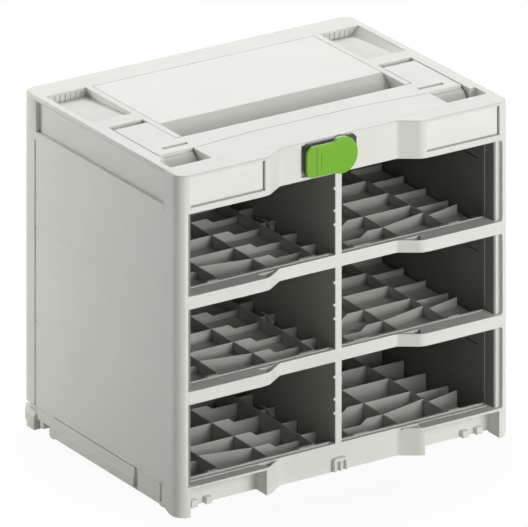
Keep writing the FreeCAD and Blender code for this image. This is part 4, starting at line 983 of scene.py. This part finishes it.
# %% [markdown]
# ## Grip ridge on the latch
#
# Beside the finger facet of the latch runs one slim raised ridge, so that the thumb finds the edge
# without looking. It is a flat stadium outline, two half circles joined by straight lines, raised
# by a little over half a millimetre with sloping sides, and bare.

# %% Raise the ridge
RIDGE_LINE = -0.0246
RIDGE_DROP = 0.001
RIDGE_HALF = 0.0062
RIDGE_RADIUS = 0.0013
RIDGE_PROUD = 0.0006
RIDGE_SINK = 0.0001
CREST_WIDE = 0.6
CREST_TALL = 0.97
RIDGE_ARC = 6

knob_low, knob_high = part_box("latch_knob")
knob_face = knob_low[1]
knob_middle = (knob_low[2] + knob_high[2]) / 2 - RIDGE_DROP


def stadium(half, radius, steps):
    """Points round an upright stadium, about its middle."""
    outline = []
    for end in (1, -1):
        for number in range(steps + 1):
            turn = math.pi * number / steps
            outline.append((end * radius * math.cos(turn), end * (half + radius * math.sin(turn))))
    return outline


work = bmesh.new()
outline = stadium(RIDGE_HALF, RIDGE_RADIUS, RIDGE_ARC)
prism(work, [(RIDGE_LINE + x, knob_face + RIDGE_SINK, knob_middle + z) for x, z in outline],
      [(RIDGE_LINE + x * CREST_WIDE, knob_face - RIDGE_PROUD, knob_middle + z * CREST_TALL)
       for x, z in outline])
ridge_mesh = closed_mesh(work, "latch_ridge")
ridge_mesh.materials.append(latch_finish)
ridge = add_object("latch_ridge", ridge_mesh)
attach(ridge, "latch")
print("ridge faces:", len(ridge_mesh.polygons))

# %% [markdown]
# ## Ejector marks
#
# When a large moulding leaves its mould, round pins push it out, and each pin leaves a faint raised
# ring. They are never put on a face that is seen, so here they sit on the sunk panels under the
# base. One ray upwards from below finds the height of the panel at each place, and Geometry Nodes
# grow a ring there.

# %% Write the tree of marks
MARK_RADIUS = 0.004
MARK_WALL = 0.00035
HOOP_STEPS = 28
WIRE_STEPS = 6

marks = Growth("ejector_marks")
marks.ask("Radius", "Float", MARK_RADIUS)
marks.ask("Wall", "Float", MARK_WALL)
marks.ask("Material", "Material", None)
hoop = marks.node("GeometryNodeCurvePrimitiveCircle", None,
                  {"Resolution": HOOP_STEPS, "Radius": marks.given("Radius")})
wire = marks.node("GeometryNodeCurvePrimitiveCircle", None,
                  {"Resolution": WIRE_STEPS, "Radius": marks.given("Wall")})
ring = marks.node("GeometryNodeCurveToMesh", None, {"Curve": hoop, "Profile Curve": wire})
marks.leave(marks.node("GeometryNodeInstanceOnPoints", None,
                       {"Points": marks.given("Geometry"), "Instance": ring}))
print("mark tree nodes:", len(marks.tree.nodes))

# %% Find the panels and grow the marks
MARK_COLUMNS = (-0.145, -0.087, -0.029, 0.029, 0.087, 0.145)
MARK_ROWS = (-0.085, -0.02, 0.045, 0.11)
BELOW_BASE = -0.01

underside = bmesh.new()
underside.from_mesh(nodes["base_tray"].data)
tray = BVHTree.FromBMesh(underside)
points = []
for along in MARK_ROWS:
    for across in MARK_COLUMNS:
        hit = tray.ray_cast(Vector((across, along, BELOW_BASE)), up)[0]
        if hit is not None:
            points.append(tuple(hit))
underside.free()
mark_rings = grow("ejector_marks", marks, points, {"Material": shell_finish},
                  "case")
print("marks:", len(points), "faces:", len(mark_rings.data.polygons))

# %% [markdown]
# ## Floor and background
#
# The studio floor is matt and nearly white. Seen directly it fades to pure white away from the
# case, so only the soft contact shadow shows; to every other ray it is an ordinary pale floor, and
# glossy plastic mirrors the same white that the picture shows.

# %% Lay the floor
FLOOR_HALF = 40.0
FLOOR_DROP = 0.0002
SHADOW_INNER = 0.2
SHADOW_OUTER = 0.32
SHADOW_WHITE = 0.93
PAPER = (0.82, 0.82, 0.81, 1.0)
WHITE = (1.0, 1.0, 1.0, 1.0)


def seen_as_picture(shading):
    """1 for rays that show the picture: straight ones, mirrored ones and ones through glass."""
    seen = shading.node("LightPath", output="Is Camera Ray")
    mirrored = shading.node("LightPath", output="Is Glossy Ray")
    through = shading.node("LightPath", output="Is Transmission Ray")
    return (seen + mirrored + through).clamped()


sheet = bpy.data.meshes.new("studio_floor")
sheet.from_pydata([(-FLOOR_HALF, -FLOOR_HALF, 0), (FLOOR_HALF, -FLOOR_HALF, 0),
                   (FLOOR_HALF, FLOOR_HALF, 0), (-FLOOR_HALF, FLOOR_HALF, 0)], [], [(0, 1, 2, 3)])
studio_floor = add_object("studio_floor", sheet)
studio_floor.location.z = -FLOOR_DROP

paper = Finish("white_paper_floor")
distance = paper.node("VectorMath", {"operation": "LENGTH"}, {0: paper.place()}, output="Value")
far_away = distance.ramp_up(SHADOW_INNER, SHADOW_OUTER)
whiteness = seen_as_picture(paper) * (SHADOW_WHITE + far_away * (1 - SHADOW_WHITE))
matt = paper.node("BsdfDiffuse", None, {"Color": PAPER})
white = paper.node("Emission", None, {"Color": WHITE, "Strength": 1.0})
paper.surface(paper.node("MixShader", None, {0: whiteness, 1: matt, 2: white}))
sheet.materials.append(paper.material)
print("floor is", 2 * FLOOR_HALF, "m wide")

# %% [markdown]
# The world does the same: pure white where it is seen, and a very dim light for everything else,
# so that the lamps alone model the object.

# %% Whiten the background
DIM = 0.02

world = bpy.data.worlds.new("studio")
scene.world = world
world.use_nodes = True
air = Shading(world.node_tree, "ShaderNodeOutputWorld")
ambient = air.node("Background", None, {"Color": WHITE, "Strength": DIM})
plain = air.node("Background", None, {"Color": WHITE, "Strength": 1.0})
air.surface(air.node("MixShader", None, {0: seen_as_picture(air), 1: ambient, 2: plain}))
print("world nodes:", len(world.node_tree.nodes))

# %% [markdown]
